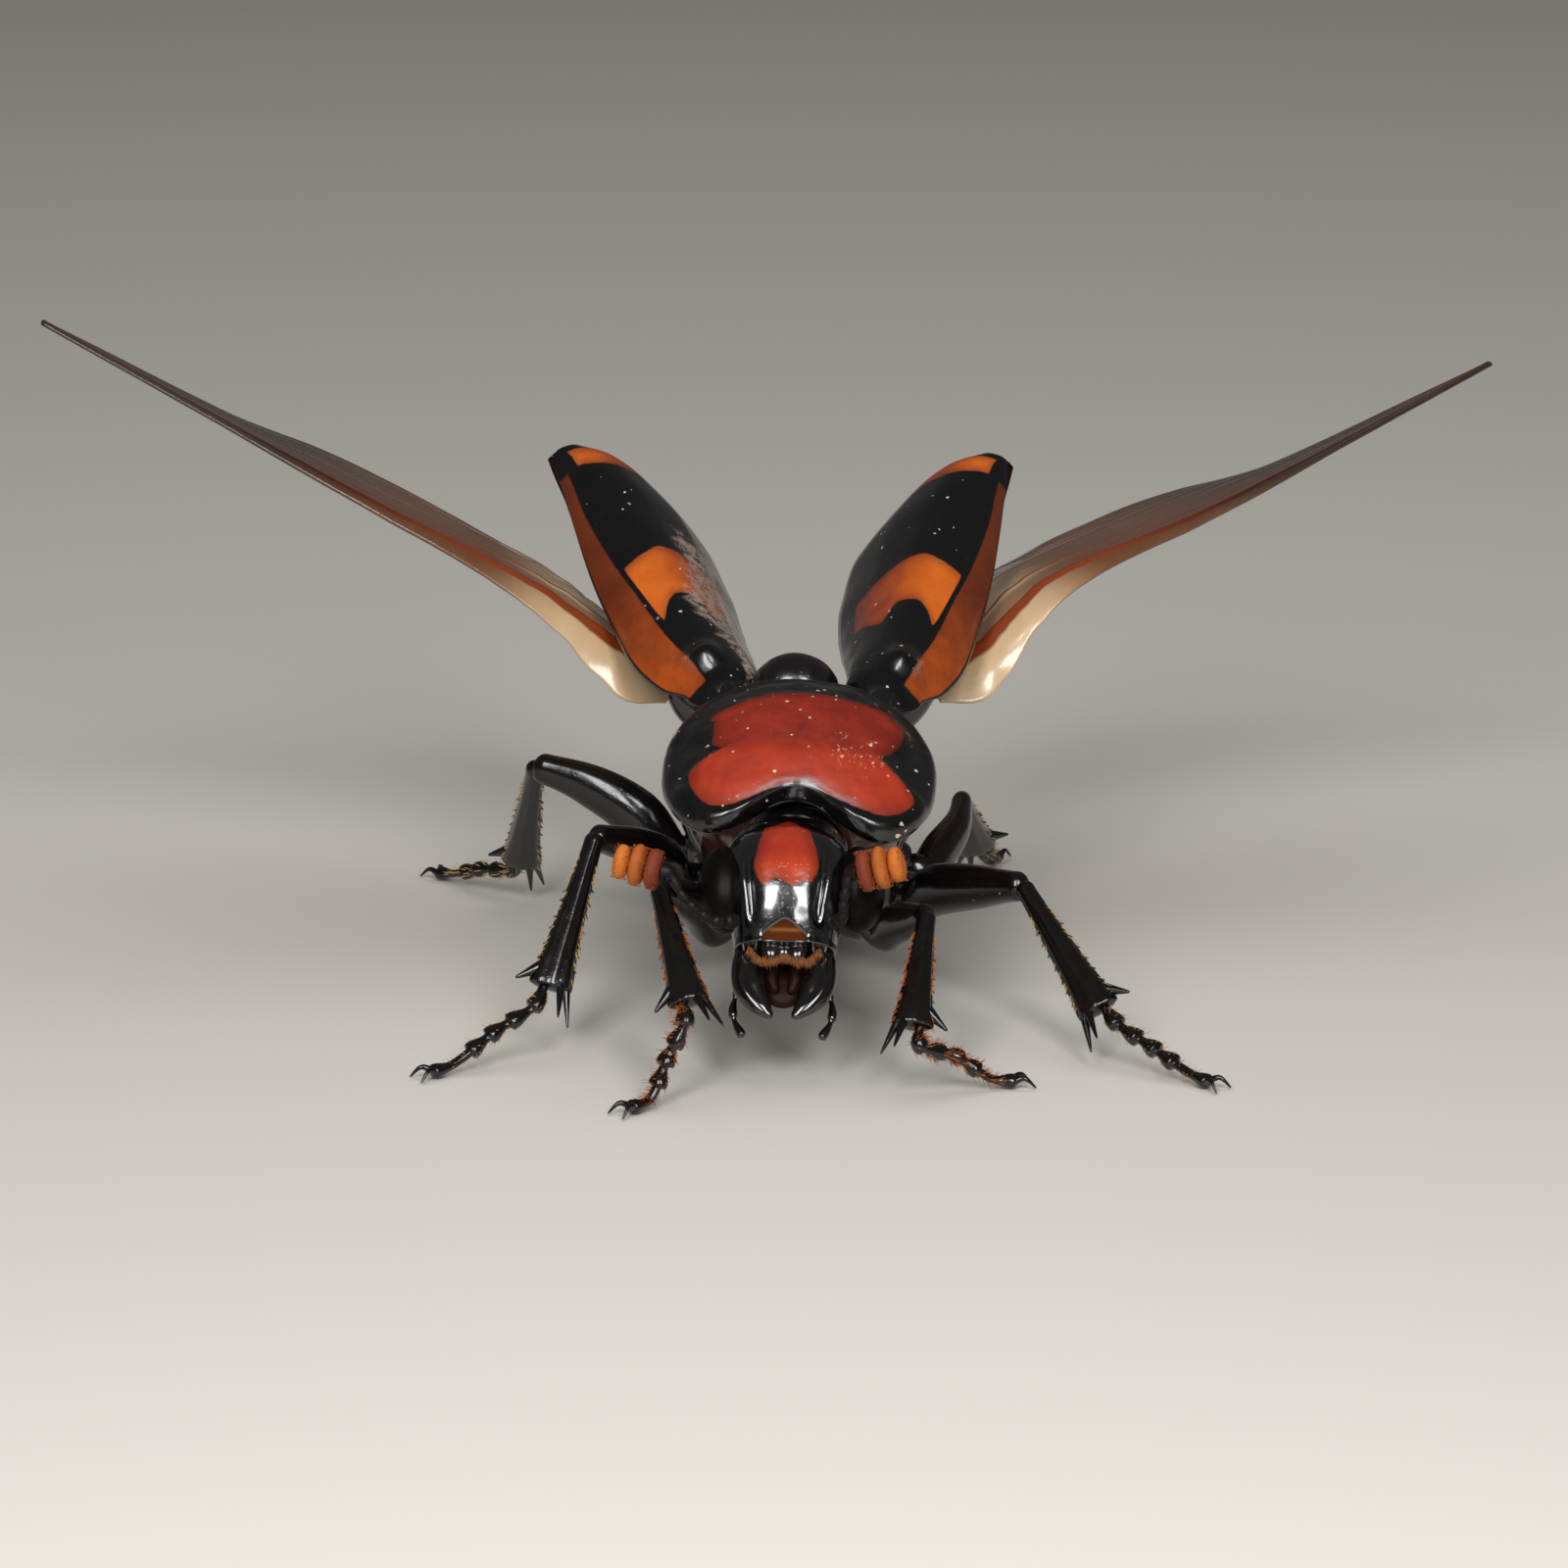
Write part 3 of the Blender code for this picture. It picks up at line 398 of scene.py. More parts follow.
def crisp(field, where, wobble, soft=0.06, perMillimetre=2.5):
    # Turns a distance in millimetres into a mask with a slightly ragged edge.
    edge = plus(field, swing(noiseAt(where, perMillimetre), wobble))
    settings = {"interpolation_type": 'SMOOTHSTEP', 1: -soft, 2: soft}
    return addNode(where.id_data, 'ShaderNodeMapRange', settings, {0: edge}).outputs[0]


def blackChitin(name, roughness, pitSpacing, pitDepth, dust, wrinkle, tint, coat=0.6, changes=None):
    # Tanned cuticle: near black, with the tight gloss of lacquer, finely pitted and lightly dusted.
    settings = {"IOR": 1.6, "Coat Weight": coat, "Coat Roughness": 0.08, **(changes or {})}
    material, tree, shader, where = startMaterial(name, settings)
    coloured, speck = dusted(where, mixColours(noiseAt(where, 0.8), tint, "#120d0c"), "#9a9184", dust)
    feed(shader, "Base Color", coloured)
    uneven = ramp(noiseAt(where, 1.7, 4.0), ((0.3, roughness * 0.75), (0.7, roughness * 1.5)))
    feed(shader, "Roughness", mixColours(speck, uneven, dustRoughness))
    shellRelief(shader, where, pitSpacing, pitDepth, wrinkle)
    return material


def paintedChitin(name, mark, colours, roughness, dust, pitSpacing=0.32, warmMark=None, satin=0.0):
    # Cuticle that stays black outside the mark and shows orange pigment through a clear layer inside.
    material, tree, shader, where = startMaterial(name, {"IOR": 1.55, "Coat Roughness": 0.1})
    dark, pale, red = colours
    inside = crisp(readMark(tree, mark), where, 0.16)
    deep = crisp(minus(readMark(tree, mark), 0.3), where, 0.4, 0.4, 1.1)
    clouds = noiseAt(where, 0.7, 5.0, 0.65)
    if warmMark:
        clouds = plus(readMark(tree, warmMark), swing(clouds, 1.1), True)
    pigment = mixColours(clouds, red, pale)
    pigment = mixColours(deep, mixColours(0.45, pigment, dark), pigment)
    coloured, speck = dusted(where, mixColours(inside, dark, pigment), "#c9b49c", dust)
    feed(shader, "Base Color", coloured)
    uneven = ramp(noiseAt(where, 1.5, 4.0), ((0.3, roughness * 0.8), (0.7, roughness * 1.35)))
    uneven = plus(uneven, times(inside, satin * 0.25), True)
    feed(shader, "Roughness", mixColours(speck, uneven, dustRoughness))
    feed(shader, "Coat Weight", minus(0.5, times(inside, satin * 0.5)))
    shellRelief(shader, where, pitSpacing, 0.012, 0.02)
    return material


def plainFinish(name, colours, roughness, perMillimetre=2.0, relief=0.01, changes=None):
    settings = {"Roughness": roughness, "IOR": 1.5, **(changes or {})}
    material, tree, shader, where = startMaterial(name, settings)
    feed(shader, "Base Color", mixColours(noiseAt(where, perMillimetre), *colours))
    feed(shader, "Normal", bumpFrom(noiseAt(where, perMillimetre * 4), 0.6, relief))
    return material


# The plates shine broadly, the legs in narrow streaks, and the jaws like polished horn.
bodyChitin = blackChitin("polished black chitin", 0.2, 0.28, 0.012, 0.035, 0.012, "#060506")
legChitin = blackChitin(
    "glossy black leg chitin", 0.17, 0.22, 0.01, 0.02, 0.02, "#060505", 0.35, {"IOR": 1.48},
)
jawHorn = blackChitin("polished black jaw horn", 0.13, 0.5, 0.004, 0.0, 0.02, "#060505")
# The stalks of the antennae are duller than the plates, so they sink back against the head.
feelerChitin = blackChitin(
    "matt black feeler chitin", 0.45, 0.3, 0.01, 0.0, 0.02, "#040303", 0.0, {"Specular IOR Level": 0.2},
)
# Soft cuticle between the plates: leathery, red brown and half matt.
jointSkin = plainFinish("leathery joint cuticle", ("#1c0b07", "#3c180c"), 0.5, 3.0, 0.03)
# The lining of the mouth is so dark that the jaws stand out against it.
mouthSkin = plainFinish(
    "dark red skin of the mouth", ("#120504", "#260c07"), 0.5, 2.5, 0.02, {"Specular IOR Level": 0.12},
)
# Each hair is a solid bristle of chitin, a little glossy: amber, rust or pale gold.
goldHair = plainFinish("amber bristle", ("#a04a10", "#c8701e"), 0.45, 1.5)
lipHair = plainFinish("rust bristle", ("#5a260e", "#d0884a"), 0.4, 7.0)
paleHair = plainFinish("pale golden bristle", ("#b98b45", "#d9b878"), 0.5, 1.5)
print("materials ready")


# Pronotum

shield = {
    "centre": Vector((0.1, -3.45, 12.5)),
    "halfWidth": 5.8,
    "halfBack": 4.95,
    "halfFront": 6.0,
    "backCorner": 0.005,
    "frontCorner": 0.03,
    "frontDrop": 1.9,
    "rim": 0.75,
    "crown": 0.75,
    "droop": 1.3,
    "notch": 2.75,
    "pitch": 20.5,
    "roll": 3.2,
    "yaw": -3.0,
    # Where on the grid the under face ends and the upper face begins, with the rolled edge between
    # them, and how far from the middle that is.
    "underEnds": 0.16,
    "faceBegins": 0.3,
    "edgeReach": 0.94,
    # How far the orange disc reaches, by angle in degrees from the left, turning to the back.
    "discReach": (
        (-200, 3.95), (-187, 3.75), (-174, 3.7), (-166, 3.45), (-160, 4.75), (-150, 5.25), (-140, 5.45),
        (-130, 5.45), (-121, 4.95), (-110, 3.95), (-96, 3.35), (-80, 3.37), (-66, 4.25), (-50, 5.45),
        (-38, 5.75), (-27, 5.45), (-20, 4.2), (-14, 3.55), (0, 3.9), (14, 4.35), (26, 4.7), (37, 4.45),
        (52, 3.65), (70, 3.1), (95, 2.98), (115, 3.2), (131, 3.5), (143, 3.85), (152, 4.25), (160, 4.15),
        (166, 3.75),
    ),
}


def discField(x, y):
    angle = math.degrees(math.atan2(y, x))
    if angle > 160:
        angle -= 360
    return rowAt(shield["discReach"], angle)[0] - math.hypot(x, y)


def shieldSurface(reach, angle, upper):
    across = signedPower(math.cos(angle), 0.88)
    along = signedPower(math.sin(angle), 0.88)
    half = shield["halfBack"] if along > 0 else shield["halfFront"]
    corner = shield["backCorner"] if along > 0 else shield["frontCorner"]
    wide = reach * (1 + corner * (2 * across * along) ** 2)
    x = shield["halfWidth"] * wide * across
    y = half * wide * along
    if along < 0:
        y += shield["notch"] * near(x, 0, 2.7) * reach ** 2 * along ** 2
    z = -shield["droop"] * (x / shield["halfWidth"]) ** 2
    z -= shield["frontDrop"] * max(0.0, -y / shield["halfBack"] - 0.6) ** 1.5
    if not upper:
        return Vector((x, y, z - shield["rim"]))
    inside = discField(x, y)
    z += shield["crown"] * (1 - reach ** 2.4)
    # The disc stands a little above the black, and in front a bead runs round it.
    front = ease(-1.5, -3.2, y)
    z += 0.14 * ease(-0.5, 0.6, inside) * (1 - front) - 0.09 * (1 - front)
    z += 0.13 * near(inside, -0.44, 0.28) * front
    # The crease across the disc, the furrow down its middle and a dent on each side.
    z -= 0.09 * near(y + 0.9 - 0.05 * x * x, 0, 0.6) * (1 - reach ** 4)
    z -= 0.05 * near(x, 0, 0.22) * ease(0.5, -2.8, y) * (1 - reach ** 6)
    z -= 0.12 * near(math.hypot(abs(x) - 2.9, y - 1.6), 0, 0.8)
    z += 0.03 * near(reach, 0.96, 0.04) - 0.03 * near(reach, 0.87, 0.06)
    z += 0.07 * noiseOf(x * 0.7, y * 0.7, 3.0) * (1.2 - 0.6 * ease(-0.4, 0.4, inside))
    z += 0.025 * noiseOf(x * 2.3, y * 2.3, 6.0)
    return Vector((x, y, z))


shieldTurn = Matrix.Rotation(math.radians(shield["yaw"]), 3, 'Z')
shieldTurn = shieldTurn @ Matrix.Rotation(math.radians(shield["pitch"]), 3, 'X')
shieldTurn = shieldTurn @ Matrix.Rotation(math.radians(shield["roll"]), 3, 'Y')


def shieldReach(v):
    # How far from the middle, whether above the under face, and how far down the rolled edge.
    under, face, edge = shield["underEnds"], shield["faceBegins"], shield["edgeReach"]
    if v < under:
        return v / under * edge, False, 0.0
    if v < face:
        turn = (v - under) / (face - under) * math.pi
        return edge + (1 - edge) * math.sin(turn), True, (1 + math.cos(turn)) / 2
    return edge * (1 - (v - face) / (1 - face)), True, 0.0


def shieldPoint(u, v):
    reach, upper, down = shieldReach(v)
    angle = 2 * math.pi * u
    point = shieldSurface(reach, angle, upper)
    if down:
        point = point.lerp(shieldSurface(reach, angle, False), down)
    return shield["centre"] + shieldTurn @ point


def shieldSpot(u, v):
    # The place on the upper side, and whether it is on the face and not on the edge or below.
    reach, upper, down = shieldReach(v)
    point = shieldSurface(reach, 2 * math.pi * u, True)
    return point.x, point.y, upper and not down


def shieldMark(u, v):
    # The black collar in front begins where the disc turns down over the neck.
    x, y, shows = shieldSpot(u, v)
    return discField(x, y) - 0.19 * ease(-1.6, -2.6, y) * near(x, 0, 2.4) if shows else -1.0


def shieldWarmth(u, v):
    # The disc is deep red behind its crease and more orange in front.
    x, y, shows = shieldSpot(u, v)
    return 0.15 + 0.55 * ease(-0.2, -1.9, y)


def scratchField(u, v):
    # Where the left half of the disc is scratched.
    x, y, shows = shieldSpot(u, v)
    return near(x, 2.3, 1.3) * near(y, -1.3, 1.5) if shows else 0.0


def makeShield():
    shell = paintedChitin(
        "glossy orange red and black shield chitin", "disc", ("#070606", "#b23410", "#74170b"),
        0.21, 0.12, 0.32, "warm", 0.8,
    )
    # Fine pale scratches that run back from the front edge of the disc.
    tree, shader, where = reopen(shell)
    drawn = addNode(tree, 'ShaderNodeMapping', {
        "Rotation": (0.0, 0.0, math.radians(-32.0)), "Scale": (1.0, 0.22, 1.0),
    }, {0: where}).outputs[0]
    lines = ramp(noiseAt(drawn, 5.0, 6.0, 0.75), ((0.55, 0.0), (0.59, 1.0)))
    broken = ramp(noiseAt(where, 1.3, 4.0, 0.7), ((0.44, 0.0), (0.52, 1.0)))
    field = times(times(lines, broken), readMark(tree, "scratch"), True)
    coverInput(shader, "Base Color", ramp(field, ((0.3, 0.0), (0.6, 0.85))), "#d9b99e")
    marks = {"disc": shieldMark, "warm": shieldWarmth, "scratch": scratchField}
    finishPiece(wrapGrid(192, 110, shieldPoint, marks), "pronotum_shell", [shell], ("pronotum",))


makeShield()
print("pronotum made")


# Trunk

trunk = {
    # Rows of (y, half width, top, bottom).
    "prosternum": (
        (-5.3, 2.3, 10.2, 6.4), (-3.6, 3.6, 11.1, 4.9), (-1.0, 4.3, 11.9, 4.3), (1.15, 3.7, 12.6, 4.7),
    ),
    "mesothorax": ((1.6, 3.7, 12.9, 4.7), (3.2, 4.6, 13.2, 4.0), (5.0, 5.0, 12.5, 3.6)),
    "metathorax": ((5.3, 5.1, 12.4, 3.5), (8.0, 5.4, 11.5, 3.0), (11.2, 5.2, 10.6, 2.7)),
    "abdomen": (
        (11.5, 5.15, 10.5, 2.6), (15.0, 5.4, 9.5, 2.0), (19.0, 4.9, 8.1, 1.4),
        (22.5, 3.5, 6.6, 1.3), (24.6, 1.5, 5.2, 1.9),
    ),
    "squareness": 2.3,
    "bead": 0.12,
    "scutellum": Vector((-0.15, 3.6, 12.8)),
    "scutellumHalf": (1.92, 1.47, 1.82),
    "abdomenRings": 6,
    "abdomenHairs": 2600,
}


def trunkPoint(rows, y, angle, shrink=1.0, inset=0.0):
    halfWidth, top, bottom = rowAt(rows, y)
    power = 2 / trunk["squareness"]
    x = (halfWidth - inset) * shrink * signedPower(math.cos(angle), power)
    z = (top + bottom) / 2 + ((top - bottom) / 2 - inset) * shrink * signedPower(math.sin(angle), power)
    return Vector((x, y, z))


def wrapTrunk(name, along, marks=None):
    rows = trunk[name]
    first, last = rows[0][0], rows[-1][0]

    def shape(u, v):
        share = (v - 0.12) / 0.76
        y = first + (last - first) * min(max(share, 0.0), 1.0)
        shrink = roundOff(max(0.0, -share, share - 1) / 0.158)
        angle = 2 * math.pi * u
        inset = 0.06 - trunk["bead"] * (near(share, 0.02, 0.05) + near(share, 0.98, 0.05)) * 0.5
        # Side plates: a slanting seam low on each flank, and a keel along the underside.
        flank = math.sin(angle)
        inset += 0.16 * near(flank, 0.15 + 0.3 * (share - 0.5), 0.06)
        inset += 0.12 * near(flank, -0.62, 0.05)
        return trunkPoint(rows, y, angle, shrink, max(inset, 0.0))

    return wrapGrid(120, along, shape, marks)


def flankMark(u, v):
    height = math.sin(2 * math.pi * u)
    return min(0.35 - abs(height - 0.28), 0.5) * 3


legs = {
    "front_right": {
        "coxa": (-1.4, -3.4, 5.6), "hip": (-3.1, -4.8, 5.0), "knee": (-5.8, -9.9, 7.9),
        "ankle": (-4.5, -13.9, 4.1), "toe": (-6.95, -15.9), "femur": 0.9, "tibia": 0.85,
        "bow": (-0.15, 0, 0.3),
    },
    "front_left": {
        "coxa": (1.4, -3.4, 5.6), "hip": (3.1, -4.8, 4.9), "knee": (5.3, -9.5, 6.65),
        "ankle": (4.65, -13.2, 2.9), "toe": (9.0, -12.2), "femur": 0.9, "tibia": 0.85, "bow": (0.2, 0, 0),
    },
    "middle_right": {
        "coxa": (-2.2, 3.0, 5.4), "hip": (-4.4, 2.3, 5.0), "knee": (-8.6, -4.0, 8.5),
        "ankle": (-10.45, -8.0, 3.0), "toe": (-15.3, -11.0), "femur": 1.0, "tibia": 0.9, "bow": (0, 0, 0.3),
    },
    "middle_left": {
        "coxa": (2.2, 3.0, 5.4), "hip": (4.4, 2.3, 4.4), "knee": (9.5, -4.0, 6.35),
        "ankle": (12.6, -8.6, 2.2), "toe": (17.0, -12.4), "femur": 1.1, "tibia": 0.9, "bow": (0, 0, 0.1),
    },
    "hind_right": {
        "coxa": (-2.6, 8.8, 4.6), "hip": (-5.0, 9.0, 4.3), "knee": (-11.6, 10.3, 7.8),
        "ankle": (-12.5, 15.6, 1.9), "toe": (-16.4, 19.6), "femur": 1.15, "tibia": 0.9, "bow": (0, 0, 0.6),
    },
    "hind_left": {
        "coxa": (2.6, 8.0, 4.6), "hip": (4.9, 8.2, 3.8), "knee": (7.3, 13.4, 5.5),
        "ankle": (8.2, 18.6, 1.8), "toe": (9.2, 22.6), "femur": 0.95, "tibia": 0.9, "bow": (0.5, 0, -0.1),
    },
}


def addCoxae(target, pair):
    for side in sides:
        spec = legs[pair + "_" + side]
        radius = spec["femur"]
        sizes = (
            (0, radius + 0.15, radius + 0.1), (0.6, radius + 0.15, radius + 0.15),
            (1, radius - 0.12, radius - 0.12),
        )
        path = [Vector(spec["coxa"]), Vector(spec["hip"])]
        joinInto(target, wrapTube(32, 20, path, sizes, upward, 0.5, 0.35))


elytra = {
    "right": {"ridge": (-3.91, 3.5, 13.63), "tip": (-10.6, 17.3, 20.65), "roll": 0.0},
    "left": {"ridge": (4.44, 3.5, 13.41), "tip": (9.12, 18.0, 20.12), "roll": -10.0},
    "thickness": 0.45,
    # Share of the length, width, top of the bulge, drop to the ridge, drop to the outer margin.
    "rows": (
        (0.0, 1.6, 1.9, 0.0, 1.3), (0.08, 2.4, 2.0, 0.02, 2.05), (0.215, 3.9, 2.1, 0.3, 2.5),
        (0.39, 5.4, 2.4, 0.46, 2.33), (0.54, 6.0, 2.74, 0.64, 2.03), (0.73, 6.0, 3.0, 0.62, 1.42),
        (0.86, 5.0, 2.67, 0.35, 0.97), (0.95, 3.4, 2.08, 0.22, 0.7), (1.0, 1.6, 1.0, 0.15, 0.4),
    ),
    # The share of the grid at which the outer fold begins, and how far the case runs on below row 0.
    "fold": 0.72,
    "below": 0.07,
    # Lower and upper edge of the orange band, by degrees round the case from the inner margin.
    "bandLower": ((0, .30), (20, .27), (40, .24), (50, .31), (60, .33), (70, .33), (80, .30), (90, .25)),
    "bandUpper": ((0, .42), (12, .44), (24, .46), (35, .49), (45, .51), (60, .53), (75, .51), (90, .49)),
    # The length that turns a share into millimetres for the edges of the bands.
    "bandScale": 16.8,
}


def elytronAxes(side):
    spec = elytra[side]
    base, tip = Vector(spec["ridge"]), Vector(spec["tip"])
    ahead = (tip - base).normalized()
    out = (cameraWay - ahead * cameraWay.dot(ahead)).normalized()
    up = out.cross(ahead)
    if up.x * base.x > 0:
        up = -up
    angle = math.radians(spec["roll"])
    turnedUp = up * math.cos(angle) - out * math.sin(angle)
    turnedOut = out * math.cos(angle) + up * math.sin(angle)
    return base, ahead, turnedOut, turnedUp, (tip - base).length


def elytronFoot(side):
    base, ahead, out, up, length = elytronAxes(side)
    width, bulge = elytra["rows"][0][1:3]
    return base - out * (width * 0.4) + up * (bulge * 0.18)


wings = {
    "right": {
        "joint": (-3.2, 9.0, 9.6), "root": (-5.25, 9.35, 12.05), "tip": (-32.9, 10.5, 27.75),
        "tilt": 5.0, "bow": 0.4,
    },
    "left": {
        "joint": (3.2, 9.0, 9.6), "root": (5.55, 9.3, 12.05), "tip": (31.3, 22.0, 23.55),
        "tilt": 9.0, "bow": 1.05,
    },
    # Share of the span, chord behind the main vein, width and droop of the strip before it.
    "rows": (
        (0.0, 0.9, 0.5, 1.2), (0.05, 3.6, 1.05, 1.85), (0.1, 6.5, 1.0, 1.6), (0.165, 9.2, 1.05, 1.1),
        (0.235, 10.5, 1.2, 0.8), (0.306, 11.0, 1.0, 0.5), (0.45, 11.3, 0.8, 0.25), (0.7, 9.8, 0.6, 0.1),
        (0.88, 6.0, 0.45, 0.06), (1.0, 0.5, 0.2, 0.05),
    ),
    # How the tilt and the upward bow of the main vein change along the span.
    "twist": ((0.0, 1.0), (0.3, 1.05), (0.45, 1.22), (0.58, 1.1), (0.7, 0.56), (0.82, 0.4), (1.0, 0.35)),
    "bow": (
        (0.0, 0.0), (0.09, 0.0), (0.15, 0.5), (0.22, 1.0), (0.3, 0.95), (0.45, 0.45), (0.6, 0.2), (1, 0.0),
    ),
    # The veins: place on the chord, height, and the share of the span at which each begins.
    "veins": (
        (0.0, 0.2, 0.0), (0.22, 0.1, 0.0), (0.5, 0.09, 0.0), (0.84, 0.08, 0.0),
        (0.11, 0.06, 0.3), (0.36, 0.05, 0.25), (0.67, 0.05, 0.3),
    ),
    # How much of the span is used, the share of the grid that the strip takes, and how much the
    # grid crowds towards the root.
    "span": 0.999,
    "strip": 0.14,
    "crowding": 1.15,
    "thickness": 0.16,
}


def wingAxes(side, share=0.0):
    spec = wings[side]
    root, tip = Vector(spec["root"]), Vector(spec["tip"])
    out = (tip - root).normalized()
    view = -cameraWay
    back = (view - out * view.dot(out)).normalized()
    up = out.cross(back)
    if up.z < 0:
        up = -up
    tilt = math.radians(spec["tilt"] * rowAt(wings["twist"], share)[0])
    chord = back * math.cos(tilt) + up * math.sin(tilt)
    rise = up * math.cos(tilt) - back * math.sin(tilt)
    return root, out, chord, rise, (tip - root).length


def makeTrunk():
    flankChitin = paintedChitin(
        "red brown flank chitin", "flank", ("#0c0908", "#6a2812", "#3a140a"), 0.34, 0.05,
    )
    prothorax = wrapTrunk("prosternum", 60, {"flank": flankMark})
    addCoxae(prothorax, "front")
    finishPiece(prothorax, "prothorax_shell", [flankChitin], ("prosternum",))

    mesothorax = wrapTrunk("mesothorax", 50)
    addCoxae(mesothorax, "middle")

    def scutellum(u, v):
        # A smooth dome with a ring of low swellings round its foot.
        turn, rise = ballAngles(u, v)
        halfWidth, halfDepth, halfHeight = trunk["scutellumHalf"]
        swell = 1 + 0.05 * math.sin(turn * 5) * math.cos(rise) ** 4 + 0.03 * noiseOf(turn, rise * 3, 1)
        x = halfWidth * math.cos(rise) * math.cos(turn) * swell
        y = halfDepth * math.cos(rise) * math.sin(turn) * swell
        return trunk["scutellum"] + Vector((x, y, halfHeight * math.sin(rise)))

    joinInto(mesothorax, wrapGrid(64, 40, scutellum))
    for side in sides:
        base, ahead, out, up, length = elytronAxes(side)
        foot = elytronFoot(side)
        sizes = ((0, 0.6, 0.6), (0.6, 0.6, 0.6), (1, 0.55, 0.55))
        path = [foot - ahead * 2.4, foot - ahead * 0.1]
        joinInto(mesothorax, wrapTube(28, 20, path, sizes, upward, 0.4, 0.3))
        # A knuckle of black chitin that fills the base of the elytron.
        start = base - out * 0.82 + up * 0.7 - ahead * 0.5
        sizes = ((0, 0.75, 0.95), (1, 0.7, 0.9))
        joinInto(mesothorax, wrapTube(32, 24, [start, start + ahead * 2.2], sizes, out, 0.5, 0.6))
    finishPiece(mesothorax, "mesothorax_shell", [bodyChitin], ("mesothorax",))

    metathorax = wrapTrunk("metathorax", 60)
    addCoxae(metathorax, "hind")
    for side in sides:
        root, out, chord, rise, length = wingAxes(side)
        foot = root - rise * 0.35 + chord * 0.1
        sizes = ((0, 0.9, 0.9), (0.6, 0.9, 0.9), (1, 0.7, 0.5))
        path = [Vector(wings[side]["joint"]), foot + out * 0.2]
        joinInto(metathorax, wrapTube(28, 24, path, sizes, chord, 0.4, 0.3))
    finishPiece(metathorax, "metathorax_shell", [bodyChitin], ("metathorax",))


makeTrunk()
print("thorax made")


def makeAbdomen():
    rows = trunk["abdomen"]
    first, last = rows[0][0], rows[-1][0]
    rings = trunk["abdomenRings"]

    def ringShare(v):
        return min(max((v - 0.06) / 0.86, 0.0), 1.0)

    def step(v):
        # Where in its own ring a point lies: 0 at the front of a plate and 1 at its hind edge.
        return (ringShare(v) * rings) % 1.0 if ringShare(v) < 1 else 1.0

    def shape(u, v):
        angle = 2 * math.pi * u
        y = first + 0.02 + (last - first - 0.02) * ringShare(v) + 0.4 * max(0.0, v - 0.92) / 0.08
        f = step(v)
        inset = 0.17 * (1 - ease(0.0, 0.16, f)) + 0.12 * ease(0.95, 1.0, f) - 0.03
        height = math.sin(angle)
        inset += 0.16 * near(height, 0.42, 0.07) + 0.05 * near(height, 0.62, 0.05)
        inset += 0.02 * noiseOf(math.cos(angle) * 3, math.sin(angle) * 3, y * 1.6)
        return trunkPoint(rows, y, angle, capped(v, 0.06, 0.92), inset)

    def soft(u, v):
        # The skin between the rings and along the flank, where the plates above and below meet.
        f = step(v)
        height = math.sin(2 * math.pi * u)
        return max(0.16 - f, f - 0.97, 0.07 - abs(height - 0.42)) * 1.5

    ringed = paintedChitin(
        "black abdomen chitin", "soft", ("#0f0c0b", "#43220f", "#2a140b"), 0.32, 0.05, 0.2,
    )
    finishPiece(wrapGrid(144, 220, shape, {"soft": soft}), "abdomen_shell", [ringed], ("abdomen",))
    rng = random.Random(4)
    roots = []
    for k in range(trunk["abdomenHairs"]):
        ring = rng.randrange(rings)
        v = 0.06 + 0.86 * (ring + rng.uniform(0.55, 0.96)) / rings
        u = rng.random()
        here, ahead = shape(u, v), shape(u, min(v + 0.01, 0.9))
        normal = Vector((math.cos(2 * math.pi * u), 0.2, math.sin(2 * math.pi * u)))
        way = (ahead - here).normalized() + normal * rng.uniform(0.15, 0.5)
        length = rng.uniform(0.35, 0.8) * (1.3 if ring > 3 else 1.0)
        roots.append((here - normal * 0.05, way, length, 0.022, 0.1, (u, v)))
    growHairs("abdomen_hairs", roots, goldHair)


makeAbdomen()
print("abdomen made")


# Head

head = {
    # Rows of (x, y, z, half width, half depth) from the neck to the lip.
    "rows": (
        (-0.3, -5.85, 8.5, 1.9, 1.45), (-0.36, -6.4, 8.48, 2.3, 1.6), (-0.42, -6.95, 8.42, 2.5, 1.72),
        (-0.47, -7.55, 8.26, 2.65, 1.9), (-0.5, -8.1, 8.08, 2.75, 2.08), (-0.53, -8.65, 7.55, 2.66, 2.1),
        (-0.55, -9.15, 6.98, 2.5, 2.03), (-0.57, -9.55, 6.5, 2.36, 1.88), (-0.58, -9.95, 6.03, 2.26, 1.66),
        (-0.6, -10.35, 5.55, 2.15, 1.4),
    ),
    "squareness": 2.4,
    # Half width of the orange patch on the forehead, and of the soft triangle over the lip, by share.
    "patch": (
        (0.15, -0.9), (0.2, 0.0), (0.28, 0.6), (0.34, 0.86), (0.38, 1.0), (0.43, 1.2), (0.5, 1.34),
        (0.56, 1.28), (0.62, 1.12), (0.7, 0.9),
    ),
    "triangle": ((0.84, -0.6), (0.9, 0.0), (0.92, 0.25), (0.96, 0.6), (1.0, 0.9)),
    # The turn from face to lip, as a share of the grid.
    "lipShare": 0.98,
    "eye": Vector((-0.32, -8.95, 7.6)),
    "eyeOut": 2.75,
    "eyeRadii": Vector((1.15, 1.45, 1.85)),
    "eyeLean": -32.0,
}


# The same rows with the share of the head's length in front.
headSpots = stationsOf([row[:3] for row in head["rows"]])[0]
headRows = [(*spot, *row[3:]) for spot, row in zip(headSpots, head["rows"])]


